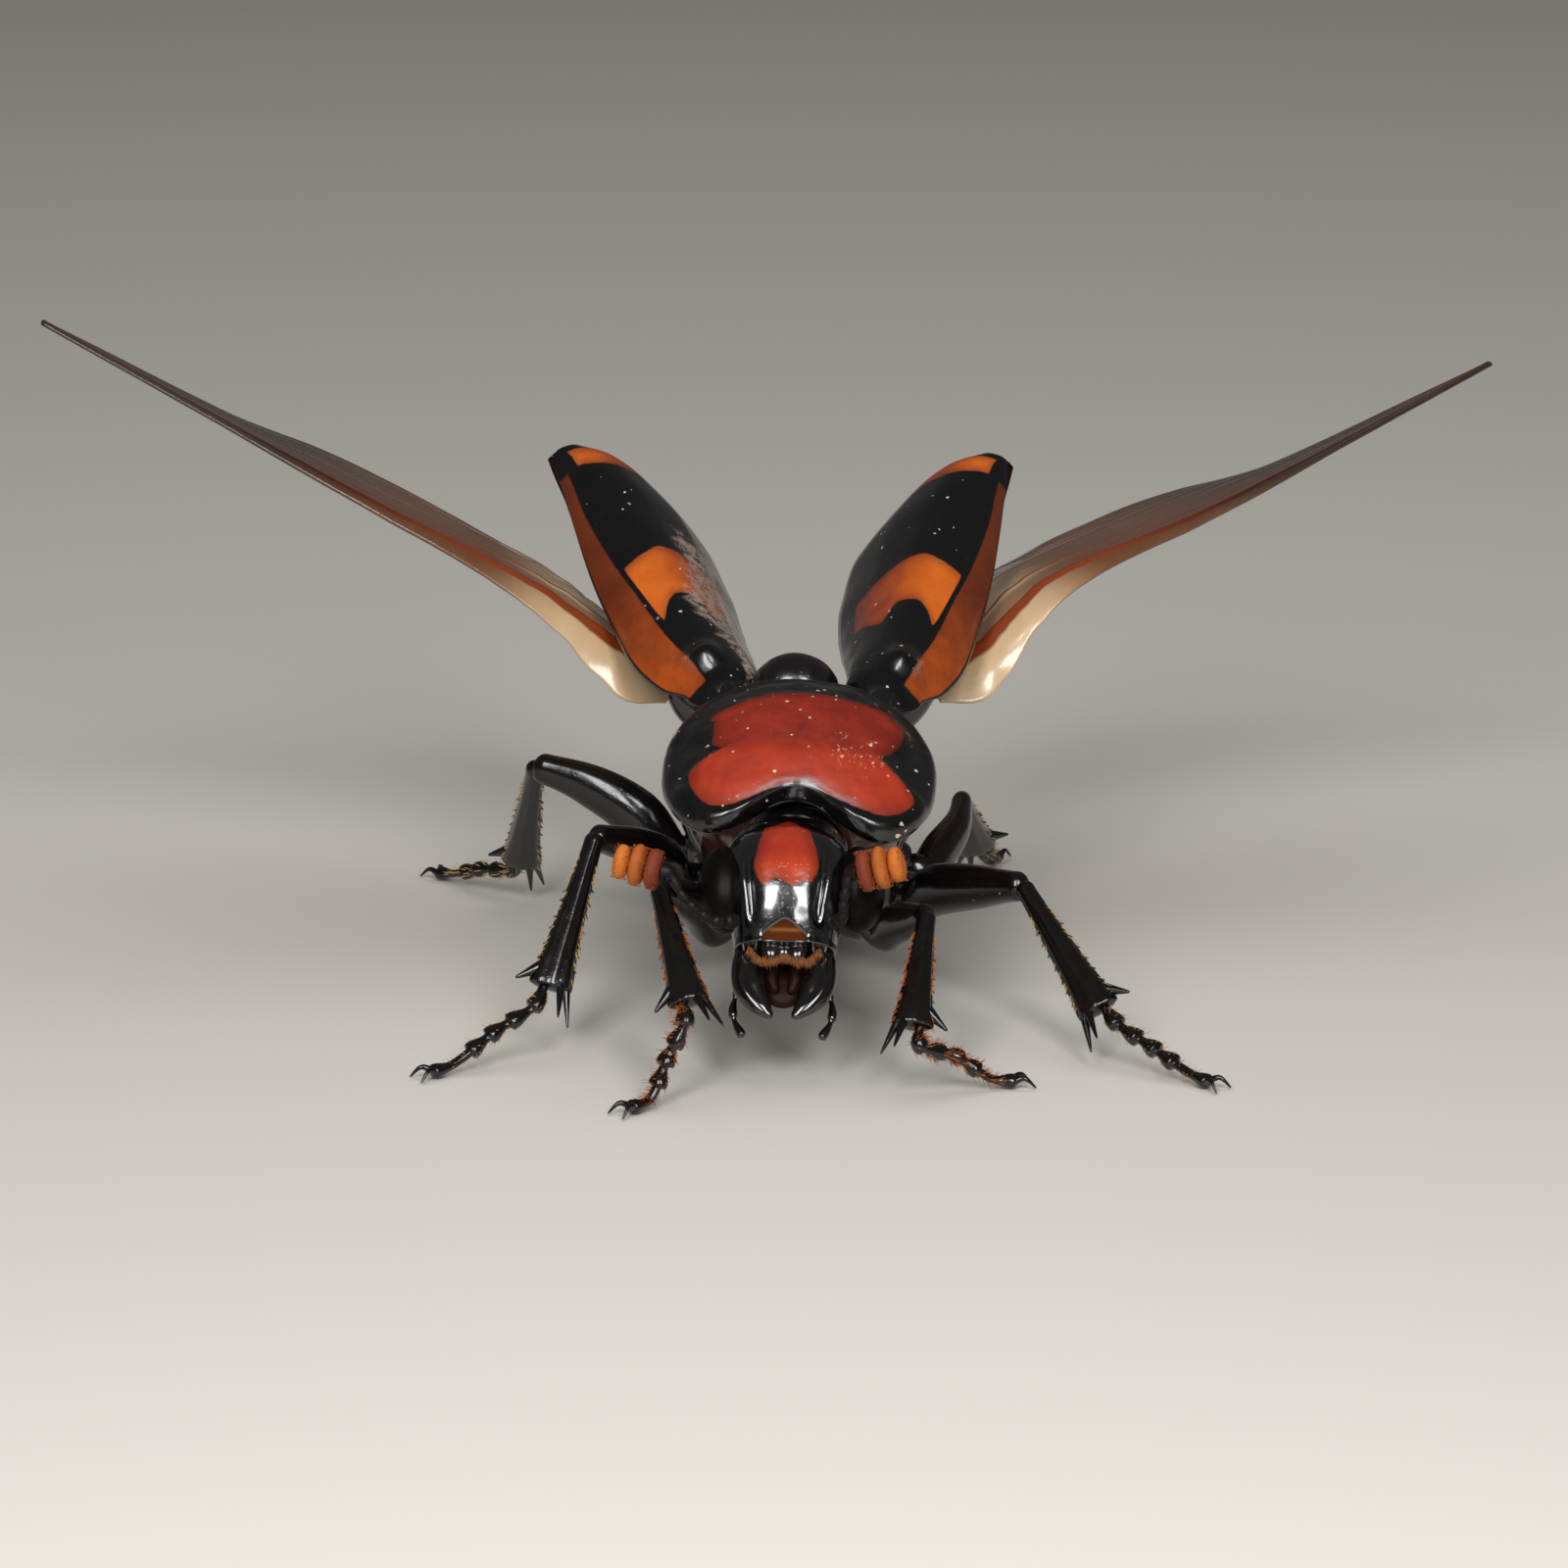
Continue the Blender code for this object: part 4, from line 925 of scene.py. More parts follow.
def headAxes(share):
    here = rowAt(headRows, share)
    low, high = rowAt(headRows, share - 0.02), rowAt(headRows, share + 0.02)
    ahead = (Vector(high[:3]) - Vector(low[:3])).normalized()
    side = (leftward - ahead * ahead.x).normalized()
    return Vector(here[:3]), ahead, side, ahead.cross(side).normalized(), here[3], here[4]


def headShare(v):
    return min(max((v - 0.06) / 0.9, 0.0), 1.0)


def patchField(x, share):
    # Rounded above, with three uneven lobes along its lower edge.
    end = 0.635 + 0.045 * near(x, 0.3, 0.28) + 0.03 * near(x, -0.95, 0.3) - 0.02 * near(x, -0.4, 0.2)
    return min(rowAt(head["patch"], share)[0] - abs(x), (end - share) * 5.7)


def triangleField(x, share):
    return rowAt(head["triangle"], share)[0] - abs(x)


def headPoint(u, v):
    share = headShare(v)
    place, ahead, side, front, wide, deep = headAxes(share)
    angle = 2 * math.pi * u
    shrink = capped(v, 0.06, head["lipShare"])
    power = 2 / head["squareness"]
    x = wide * signedPower(math.cos(angle), power)
    beside = abs(x)
    facing = ease(0.15, 0.6, math.sin(angle))
    lift = 0.04 * ease(-0.2, 0.4, patchField(x, share)) * ease(0.62, 0.5, share)
    lift += 0.05 * near(share, 0.76, 0.14) * ease(1.4, 1.0, beside)
    # A groove runs down each side of the face, with a ridge outside it.
    groove = 1.52 - 0.2 * ease(0.5, 0.9, share)
    lift -= 0.2 * near(beside, groove, 0.15) * ease(0.36, 0.48, share) * ease(0.95, 0.82, share)
    lift += 0.1 * near(beside, groove + 0.3, 0.2) * near(share, 0.6, 0.2)
    lift -= 0.16 * ease(-0.05, 0.12, triangleField(x, share)) * ease(0.8, 0.86, share)
    lift += 0.06 * near(share, 0.12, 0.03) - 0.08 * near(share, 0.07, 0.03)
    lift += 0.012 * noiseOf(x * 2, share * 9, 5)
    out = deep * signedPower(math.sin(angle), power) + lift * facing
    point = side * (x * shrink) + front * (out * shrink)
    # The last rings run a little past the last row, down to the lip.
    return place + point + ahead * (0.28 * ease(0.955, 0.98, v))


def makeHead():
    def onFace(field, u, v):
        # A field of the face, and none on the back of the head.
        share = headShare(v)
        x = headAxes(share)[4] * signedPower(math.cos(2 * math.pi * u), 2 / head["squareness"])
        return field(x, share) if math.sin(2 * math.pi * u) > 0.1 else -1.0

    def patchMark(u, v):
        return onFace(patchField, u, v)

    def skinMark(u, v):
        return onFace(triangleField, u, v) if v < head["lipShare"] else -1.0

    def warmMark(u, v):
        share = headShare(v)
        return 0.15 + 0.6 * ease(0.42, 0.62, share) if share < 0.8 else near(share, 0.965, 0.012)

    faceChitin = paintedChitin(
        "polished black and orange red face chitin", "patch", ("#060506", "#c2440f", "#98230a"),
        0.17, 0.05, 0.2, "warm",
    )
    # The face mirrors the lamps like wet lacquer, except on the soft brown triangle over the lip.
    tree, shader, where = reopen(faceChitin)
    soft = crisp(readMark(tree, "skin"), where, 0.05, 0.03)
    coverInput(shader, "Base Color", soft, mixColours(readMark(tree, "warm"), "#4f2611", "#7d5029"))
    coverInput(shader, "Roughness", soft, 0.5)
    polish = minus(1.0, soft)
    feed(shader, "Coat Weight", polish)
    feed(shader, "Specular IOR Level", times(polish, 0.6))
    feed(shader, "Coat IOR", 1.7)
    marks = {"patch": patchMark, "skin": skinMark, "warm": warmMark}
    finishPiece(wrapGrid(160, 150, headPoint, marks), "head_capsule", [faceChitin], ("head",))
    # The eye is matt next to the face, because its facets scatter the light.
    eyeLens = plainFinish(
        "dark faceted eye", ("#050403", "#0d0705"), 0.42, 1.0, 0.0, {"Specular IOR Level": 0.12},
    )
    tree, shader, where = reopen(eyeLens)
    feed(shader, "Normal", bumpFrom(cellsAt(where, 14.0, 0.15), 0.25, 0.008))
    lean = Matrix.Rotation(math.radians(head["eyeLean"]), 3, 'X')
    for side, sign in sides.items():
        centre = head["eye"] + Vector((sign * head["eyeOut"], 0, 0))

        def eyePoint(u, v):
            # A bulging bean, a little hollow on the side towards the face.
            turn, rise = ballAngles(u, v)
            x = math.cos(rise) * math.cos(turn)
            y = math.cos(rise) * math.sin(turn)
            z = math.sin(rise)
            inward = max(0.0, -x * sign)
            r = head["eyeRadii"]
            x, z = x * (1 - 0.25 * inward), z * (1 - 0.05 * inward)
            return centre + lean @ Vector((r.x * x, r.y * y, r.z * z))

        finishPiece(wrapGrid(80, 60, eyePoint), "eye_lens_" + side, [eyeLens], ("eye_" + side,))


makeHead()
print("head made")


def faceFrame():
    # The plane of the mouth: its centre, the way down the face, its side and the way out of the face.
    places = [Vector(row[:3]) for row in head["rows"]]
    down = (places[-1] - places[-2]).normalized()
    side = (leftward - down * down.x).normalized()
    out = down.cross(side).normalized()
    if out.y > 0:
        out = -out
    return places[-1], down, side, out


mouth = {
    # Rows of (to the side, out of the face, down it).
    "jawPath": (
        (1.38, -0.2, -0.35), (1.46, -0.15, 0.8), (1.34, -0.1, 1.6), (1.02, -0.05, 2.2), (0.68, 0.0, 2.65),
        (0.4, 0.0, 2.9),
    ),
    "palpPath": (
        (1.4, -1.15, -0.3), (1.75, -1.2, 0.9), (2.05, -1.15, 1.9), (2.0, -1.1, 2.6), (1.6, -1.0, 3.4),
    ),
    "tonguePath": ((0, -1.2, -0.3), (0, -1.0, 0.9), (0, -0.8, 2.1)),
    "lobePath": ((0.42, -0.6, -0.2), (0.5, -0.5, 0.9), (0.28, -0.45, 1.6)),
    "wallPath": ((0, -0.1, -0.9), (0, -0.1, 0.02)),
    # Rows of (share, half breadth, half depth).
    "jawSizes": (
        (0.0, 0.62, 0.43), (0.3, 0.73, 0.45), (0.55, 0.71, 0.44), (0.78, 0.48, 0.34), (1.0, 0.13, 0.13),
    ),
    "tongueSizes": ((0, 1.2, 0.45), (0.5, 1.15, 0.4), (1, 0.7, 0.3)),
    "lobeSizes": ((0, 0.36, 0.34), (0.5, 0.33, 0.3), (1, 0.18, 0.18)),
    "wallSizes": ((0, 1.9, 1.1), (1, 1.8, 1.0)),
    "fringeHairs": 620,
}


def makeMouth():
    centre, down, side, out = faceFrame()
    start = centre + down * gap

    def lipPoint(u, v):
        # A short bar, notched in the middle of its lower edge.
        turn, share = 2 * math.pi * u, 0.5 - 0.5 * math.cos(math.pi * v)
        close = roundOff((2 * share - 1) ** 2)
        x = 0.98 * signedPower(math.cos(turn), 0.8) * close * (1 - 0.1 * share)
        deep = 0.25 * signedPower(math.sin(turn), 0.8) * close
        fall = share * (1.08 - 0.22 * near(x, 0, 0.35) - 0.15 * x ** 4)
        return start + side * x + out * (0.8 + deep - 0.16 * near(x, 0, 0.42)) + down * (fall - 0.37)

    finishPiece(wrapGrid(64, 40, lipPoint), "upper_lip", [jawHorn], ("labrum",))

    def place(sign, across, lift, fall):
        return start + side * (sign * across) + out * lift + down * fall

    def pathOf(key, sign=1):
        return [place(sign, *spot) for spot in mouth[key]]

    for name, sign in sides.items():
        def jawProfile(share, angle):
            # A groove runs down the front of the jaw, and a ridge stands outside it.
            half, deep = rowAt(mouth["jawSizes"], share)
            outward, forward = sign * math.cos(angle), max(0.0, math.sin(angle))
            groove = 0.06 * near(outward, 0.0, 0.25) * ease(0.02, 0.2, share) * ease(0.85, 0.6, share)
            ridge = 0.04 * near(outward, 0.55, 0.25) * ease(0.9, 0.6, share)
            return half, deep + (ridge - groove) * forward

        jaw = wrapTube(56, 90, pathOf("jawPath", sign), jawProfile, side, 0.2, 0.14)
        finishPiece(jaw, "jaw_" + name, [jawHorn], ("mandible_" + name,))

        def palpProfile(share, angle):
            # Four joints, each narrow at its foot and swollen at its end.
            f = (share * 4) % 1.0
            size = 0.11 + 0.09 * ease(0.05, 0.7, f) - 0.07 * ease(0.88, 1.0, f)
            return size, size

        palp = wrapTube(28, 90, pathOf("palpPath", sign), palpProfile, side, 0.15, 0.15)
        finishPiece(palp, "palp_shell_" + name, [jawHorn], ("palp_" + name,))
    under = bmesh.new()
    joinInto(under, wrapTube(40, 30, pathOf("tonguePath"), mouth["tongueSizes"], side, 0.2, 0.6))
    for sign in sides.values():
        joinInto(under, wrapTube(24, 26, pathOf("lobePath", sign), mouth["lobeSizes"], side, 0.2, 0.2))
    # The soft face of the mouth, which closes the head behind the lip and the jaws.
    joinInto(under, wrapTube(48, 10, pathOf("wallPath"), mouth["wallSizes"], side, 0.1, 0.2))
    finishPiece(under, "lower_lip", [mouthSkin], ("labium",))
    rng = random.Random(9)
    roots = []
    for k in range(mouth["fringeHairs"]):
        x = rng.uniform(-1.5, 1.5)
        beside = ease(0.95, 1.5, abs(x))
        fall = 0.6 - 0.22 * near(x, 0, 0.35) - 0.55 * beside + rng.uniform(-0.1, 0.08)
        at = place(1, x, 0.78 - 0.25 * beside + rng.uniform(-0.12, 0.14), fall)
        way = down + side * (x * 0.08 + rng.uniform(-0.3, 0.3)) + out * rng.uniform(-0.05, 0.3)
        roots.append((at, way, rng.uniform(0.15, 0.5), 0.012, 0.0, (0.3 + x * 0.15, rng.random() * 0.2)))
    growHairs("lip_hairs", roots, lipHair)


makeMouth()
print("mouth made")


# Antennae

antennae = {
    "right": {
        "stalk": ((-2.5, -11.3, 6.95), (-3.6, -11.95, 7.2), (-4.7, -12.25, 8.2), (-5.35, -12.05, 9.2)),
        "tip": (-7.6, -11.5, 9.6),
    },
    "left": {
        "stalk": ((1.25, -11.25, 6.9), (1.75, -12.2, 7.3), (1.85, -12.6, 8.3), (2.1, -12.45, 9.3)),
        "tip": (4.3, -12.9, 9.85),
    },
    "segments": 7,
    # Half thickness of the stalk by share, and of the three leaves of the club.
    "stalkSizes": ((0, 0.34), (0.15, 0.32), (0.4, 0.23), (0.8, 0.22), (1, 0.42)),
    "clubWidths": (0.88, 0.9, 0.74),
    "clubFlatness": 0.78,
    "clubHairs": 900,
}


def makeAntennae():
    # Downy club: red brown on the first leaf and honey yellow on the last.
    velvet = plainFinish("velvety orange club", ("#a84e10", "#cc7418"), 0.7, 3.5, 0.05)
    tree, shader, where = reopen(velvet)
    honey = shader.inputs["Base Color"].links[0].from_socket
    feed(shader, "Base Color", mixColours(readMark(tree, "tip"), "#6e240a", honey))
    flatness = antennae["clubFlatness"]
    rng = random.Random(12)
    for side in sides:
        spec = antennae[side]

        def stalkProfile(share, angle):
            f = (share * antennae["segments"]) % 1.0
            size = rowAt(antennae["stalkSizes"], share)[0]
            size *= 0.72 + 0.28 * ease(0.0, 0.5, f) - 0.2 * ease(0.86, 1.0, f)
            return size, size

        end = Vector(spec["tip"])
        last = Vector(spec["stalk"][-1])
        axis = (end - last).normalized()
        path = [*spec["stalk"], tuple(last + axis * 0.35)]
        stalk = wrapTube(28, 140, path, stalkProfile, Vector((0, 1, 0)), 0.2, 0.1)
        finishPiece(stalk, "antenna_stalk_" + side, [feelerChitin], ("antenna_" + side,))
        start = last + axis * gap
        across = (upward - axis * axis.z).normalized()
        along = axis.cross(across)
        length = (end - start).length
        club = bmesh.new()
        for k, wide in enumerate(antennae["clubWidths"]):
            def leafPoint(u, v):
                # One leaf of the club: a cup with a thick rounded rim.
                turn, rise = ballAngles(u, v)
                ring = math.cos(rise) ** 0.6
                here = start + axis * (length * (k + 0.5 + 0.5 * math.sin(rise) * 0.98 + 0.06 * ring) / 3)
                half = wide * ring * (1 + 0.03 * math.sin(turn * 3 + k) + 0.02 * noiseOf(turn, v * 4, k))
                return here + across * (half * math.cos(turn)) + along * (half * flatness * math.sin(turn))

            def tipMark(u, v):
                return ease(0.1, 0.8, (k + v) / 3)

            joinInto(club, wrapGrid(56, 30, leafPoint, {"tip": tipMark}))
        finishPiece(club, "club_leaves_" + side, [velvet], ("antenna_club_" + side,))
        roots = []
        for k in range(antennae["clubHairs"]):
            f, turn = rng.uniform(0.02, 1.0), rng.uniform(0, 2 * math.pi)
            wide = antennae["clubWidths"][min(int(f * 3), 2)] * 0.93
            ring = across * math.cos(turn) + along * (flatness * math.sin(turn))
            way = ring + axis * rng.uniform(0.0, 0.8)
            at = start + axis * (length * f) + ring * (wide * 0.95)
            roots.append((at, way, rng.uniform(0.07, 0.13), 0.012, 0.0, (f, turn / 7)))
        growHairs("club_down_" + side, roots, goldHair)


makeAntennae()
print("antennae made")


# Elytra

def elytronShare(u):
    return u * (1 + elytra["below"]) - elytra["below"]


def elytronPoint(side, share, v):
    base, ahead, out, up, length = elytronAxes(side)
    width, bulge, ridge, margin = rowAt(elytra["rows"], share)
    origin = base + ahead * (length * share) - out * width + up * bulge
    height, drop = bulge + ridge, margin - ridge
    # A knob on the shoulder, half on the case and half on its outer fold.
    knob = near(share, 0.062, 0.046)
    if v < elytra["fold"]:
        t = v / elytra["fold"] * math.pi / 2
        s, c = math.sin(t) ** 0.8, math.cos(t) ** 0.8
        point = origin + out * (width * s) + up * (height * (c - 1))
        ribbed = ease(0.1, 0.3, share) * ease(0.95, 0.7, share)
        rib = 0.03 * (near(t, 0.42, 0.1) + near(t, 0.85, 0.1)) * ribbed
        rib += 0.03 * noiseOf(share * 9, t * 3, 4.0)
        rib += 0.6 * knob * near(t, 1.46, 0.3)
        return point + (out * s + up * c) * rib
    f = (v - elytra["fold"]) / (1 - elytra["fold"])
    point = origin + out * width - up * height
    lip = 0.015 * near(f, 0.06, 0.08) + 0.05 * near(f, 0.96, 0.04)
    return point - up * (drop * f) - out * (0.3 * drop * f * f - lip - 0.52 * knob * near(f, 0, 0.25))


def elytronBands(share, degrees):
    scale = elytra["bandScale"]
    lower = rowAt(elytra["bandLower"], degrees)[0]
    upper = rowAt(elytra["bandUpper"], degrees)[0]
    band = min((share - lower) * scale, (upper - share) * scale, math.radians(degrees - 12) * 4.5)
    lower = 0.85 + 0.06 * degrees / 83
    spot = min((share - lower) * scale, (0.975 - share) * scale, math.radians(degrees - 10) * 3.5)
    return max(band, min(spot, (83 - degrees) * 0.08))


def wingCaseFinish():
    case = paintedChitin(
        "glossy pitted wing case", "band", ("#060506", "#cc600c", "#8e300c"), 0.24, 0.1, 0.34, "warm",
    )
    tree, shader, where = reopen(case)
    # The outer fold is streaked orange, darker towards the tip.
    streaks = times(noiseAt(where, 0.8, 5.0, 0.6), readMark(tree, "root"), True)
    fold = crisp(readMark(tree, "fold"), where, 0.06, 0.05)
    coverInput(shader, "Base Color", fold, mixColours(streaks, "#4a1a09", "#a8480f"))
    # A torn film of dried dust.
    torn = ramp(noiseAt(where, 2.4, 7.0, 0.8), ((0.43, 0.0), (0.53, 0.95)))
    film = times(crisp(readMark(tree, "scuff"), where, 2.6, 0.5, 1.3), torn)
    coverInput(shader, "Base Color", film, "#a08c7d")
    return case


def makeElytra():
    case = wingCaseFinish()
    # The inner face of the case is duller and browner than the outer.
    underside = plainFinish("brown underside of the wing case", ("#2a130b", "#45210f"), 0.4, 1.5, 0.03)
    foldBegins = elytra["fold"]
    for side in sides:
        base, ahead, out, up, length = elytronAxes(side)
        foot = elytronFoot(side)

        def shape(u, v):
            # Below its first row the case narrows to a black shoulder that covers the hinge.
            share = elytronShare(u)
            if share < 0:
                below = -share / elytra["below"]
                return elytronPoint(side, 0.0, v).lerp(foot, 0.55 * below ** 2.5) - ahead * (1.4 * below)
            return elytronPoint(side, share, v)

        def band(u, v):
            share = elytronShare(u)
            if v < foldBegins:
                return elytronBands(share, v / foldBegins * 90)
            return min(elytronBands(share, 90), -0.2)

        def foldMark(u, v):
            share = elytronShare(u)
            if v < foldBegins:
                return -1.0
            f = (v - foldBegins) / (1 - foldBegins)
            ridge, margin = rowAt(elytra["rows"], share)[2:]
            drop = margin - ridge
            return min((f - 0.13) * drop, (0.93 - f) * drop, (0.9 - share) * 8, (share + 0.01) * 12)

        def warmMark(u, v):
            # The band is more golden towards the outer side.
            return 0.15 + 0.75 * ease(0.25, 0.62, v)

        def rootMark(u, v):
            return 0.35 + 1.35 * ease(0.5, 0.05, elytronShare(u))

        def scuffMark(u, v):
            # Dried dust, only on the elytron of the beetle's right side.
            share = elytronShare(u)
            if side == "left" or v > 0.6:
                return -3.0
            reach = 0.3 + 0.14 * near(share, 0.3, 0.16)
            return min((0.62 - share) * 14, (share + 0.04) * 14, (reach - v) * 10, (v - 0.12) * 10)

        marks = {"band": band, "fold": foldMark, "warm": warmMark, "root": rootMark, "scuff": scuffMark}
        bm = wrapGrid(150, 90, shape, marks)
        bmesh.ops.recalc_face_normals(bm, faces=bm.faces)
        # The sheet is open, so its faces are turned to the outer side before it gets its thickness.
        if sum(face.normal.dot(out + up) for face in bm.faces) < 0:
            bmesh.ops.reverse_faces(bm, faces=bm.faces)
        piece = finishPiece(bm, "wing_case_" + side, [case, underside], ("elytron_" + side,), False)
        wall = addWall(piece, elytra["thickness"], -1.0)
        wall.material_offset = 1
        wall.use_quality_normals = True


makeElytra()
print("wing cases made")


# Hindwings

def wingPlace(side, share, v):
    # A place on the membrane, how far it lies behind the main vein, the chord and the way up.
    root, out, chord, rise, length = wingAxes(side, share)
    wide, strip, droop = rowAt(wings["rows"], share)
    bow = wings[side]["bow"] * rowAt(wings["bow"], share)[0]
    vein = root + out * (length * wings["span"] * share) + rise * bow
    if v < wings["strip"]:
        f = v / wings["strip"]
        swell = 0.2 * math.sin(math.pi * f) * ease(0.04, 0.09, share) * ease(0.45, 0.2, share)
        point = vein - chord * (strip * (1 - f) + swell) - rise * (droop * (1 - f) ** 1.2)
        return point, (f - 1) * strip, wide, rise
    line = (v - wings["strip"]) / (1 - wings["strip"])
    camber = 0.5 * math.sin(math.pi * line) * (1 - share)
    return vein + chord * (wide * line) + rise * camber, wide * line, wide, rise


def makeWings():
    material, tree, shader, where = startMaterial("translucent amber wing membrane", {
        "Roughness": 0.26, "IOR": 1.5, "Coat Weight": 0.7, "Coat Roughness": 0.12,
    })
    # Thin waxy membrane: ivory and glossy at the root, then amber and letting some light through.
    along = readMark(tree, "along")
    wave = noiseAt(where, 0.35, 4.0)
    ivory = mixColours(wave, "#b58f66", "#d6bd98")
    amber = mixColours(wave, "#5a341d", "#82532c")
    smoky = mixColours(wave, "#2a1a12", "#46301f")
    reach = plus(along, times(wave, 0.08))
    inner = mixColours(ramp(reach, ((0.2, 0.0), (0.36, 1.0)), 'EASE'), ivory, amber)
    base = mixColours(ramp(reach, ((0.45, 0.0), (0.72, 1.0)), 'EASE'), inner, smoky)
    stripe = ramp(readMark(tree, "behind"), ((0.0, 0.0), (0.02, 1.0), (0.12, 1.0), (0.2, 0.0)), 'EASE')
    tone = mixColours(times(stripe, 0.6), base, "#7a3416")
    veins = crisp(readMark(tree, "vein"), where, 0.05, 0.05)
    rust = mixColours(ramp(along, ((0.25, 0.0), (0.6, 1.0)), 'EASE'), "#7c3312", "#3a140a")
    feed(shader, "Base Color", mixColours(veins, tone, rust))
    clear = ramp(along, ((0.15, 0.0), (0.5, 1.0)), 'EASE')
    feed(shader, "Alpha", mixColours(times(clear, minus(1.0, veins)), 1.0, 0.82))
    feed(shader, "Normal", bumpFrom(noiseAt(where, 2.6, 4.0), 0.5, 0.03))
    for side in sides:
        def shareOf(u):
            return u ** wings["crowding"]

        def shape(u, v):
            share = shareOf(u)
            point, behind, wide, rise = wingPlace(side, share, v)
            lift = 0.05 * noiseOf(share * 14, behind * 0.7, 2) * (1 - share)
            crumple = ease(0.02, 0.06, share) * ease(0.36, 0.16, share)
            lift += 0.1 * noiseOf(share * 30, behind * 0.5, 7) * crumple
            line = behind / wide if behind > 0 else 0.0
            for place, tall, begins in wings["veins"]:
                if share >= begins:
                    lift += tall * near(behind, place * wide, 0.16) * (1 - 0.9 * share)
            lift += 0.03 * math.sin(line * 46) * ease(0.0, 0.2, line) * ease(0.3, 0.45, share)
            return point + rise * lift

        def alongMark(u, v):
            return shareOf(u)

        def behindMark(u, v):
            return max(wingPlace(side, shareOf(u), v)[1], 0.0) / 11.0

        def veinMark(u, v):
            share = shareOf(u)
            point, behind, wide, rise = wingPlace(side, share, v)
            best = -1.0
            for place, tall, begins in wings["veins"]:
                if share >= begins:
                    half = (0.26 if tall > 0.15 else 0.1) * (1 - 0.4 * share)
                    best = max(best, half - abs(behind - place * wide))
            return best

        bm = wrapGrid(190, 130, shape, {"along": alongMark, "behind": behindMark, "vein": veinMark})
        piece = finishPiece(bm, "wing_membrane_" + side, [material], ("hindwing_" + side,))
        addWall(piece, wings["thickness"], 0.0)


makeWings()
print("wings made")


# Legs

legShape = {
    # Breadth of the femur by share of its length, and the ends of the five joints of the tarsus.
    "femur": ((0.0, 0.72), (0.3, 1.0), (0.6, 0.9), (0.85, 0.66), (1.0, 0.56)),
    "tarsus": (0.0, 0.2, 0.38, 0.54, 0.7, 1.0),
    "footRows": 160,
    "teeth": 14,
    "frontPadHairs": 260,
    "padHairs": 110,
    "shinHairs": 120,
}


def addSpike(target, base, tip, radius, bend=0.0):
    def profile(share, angle):
        size = radius * (1 - 0.86 * share) + 0.015
        return size, size

    path = [base, base.lerp(tip, 0.5) + upward * bend, tip]
    broad = (tip - base).normalized().orthogonal()
    joinInto(target, wrapTube(12, 14, path, profile, broad, 0.05, 0.05))


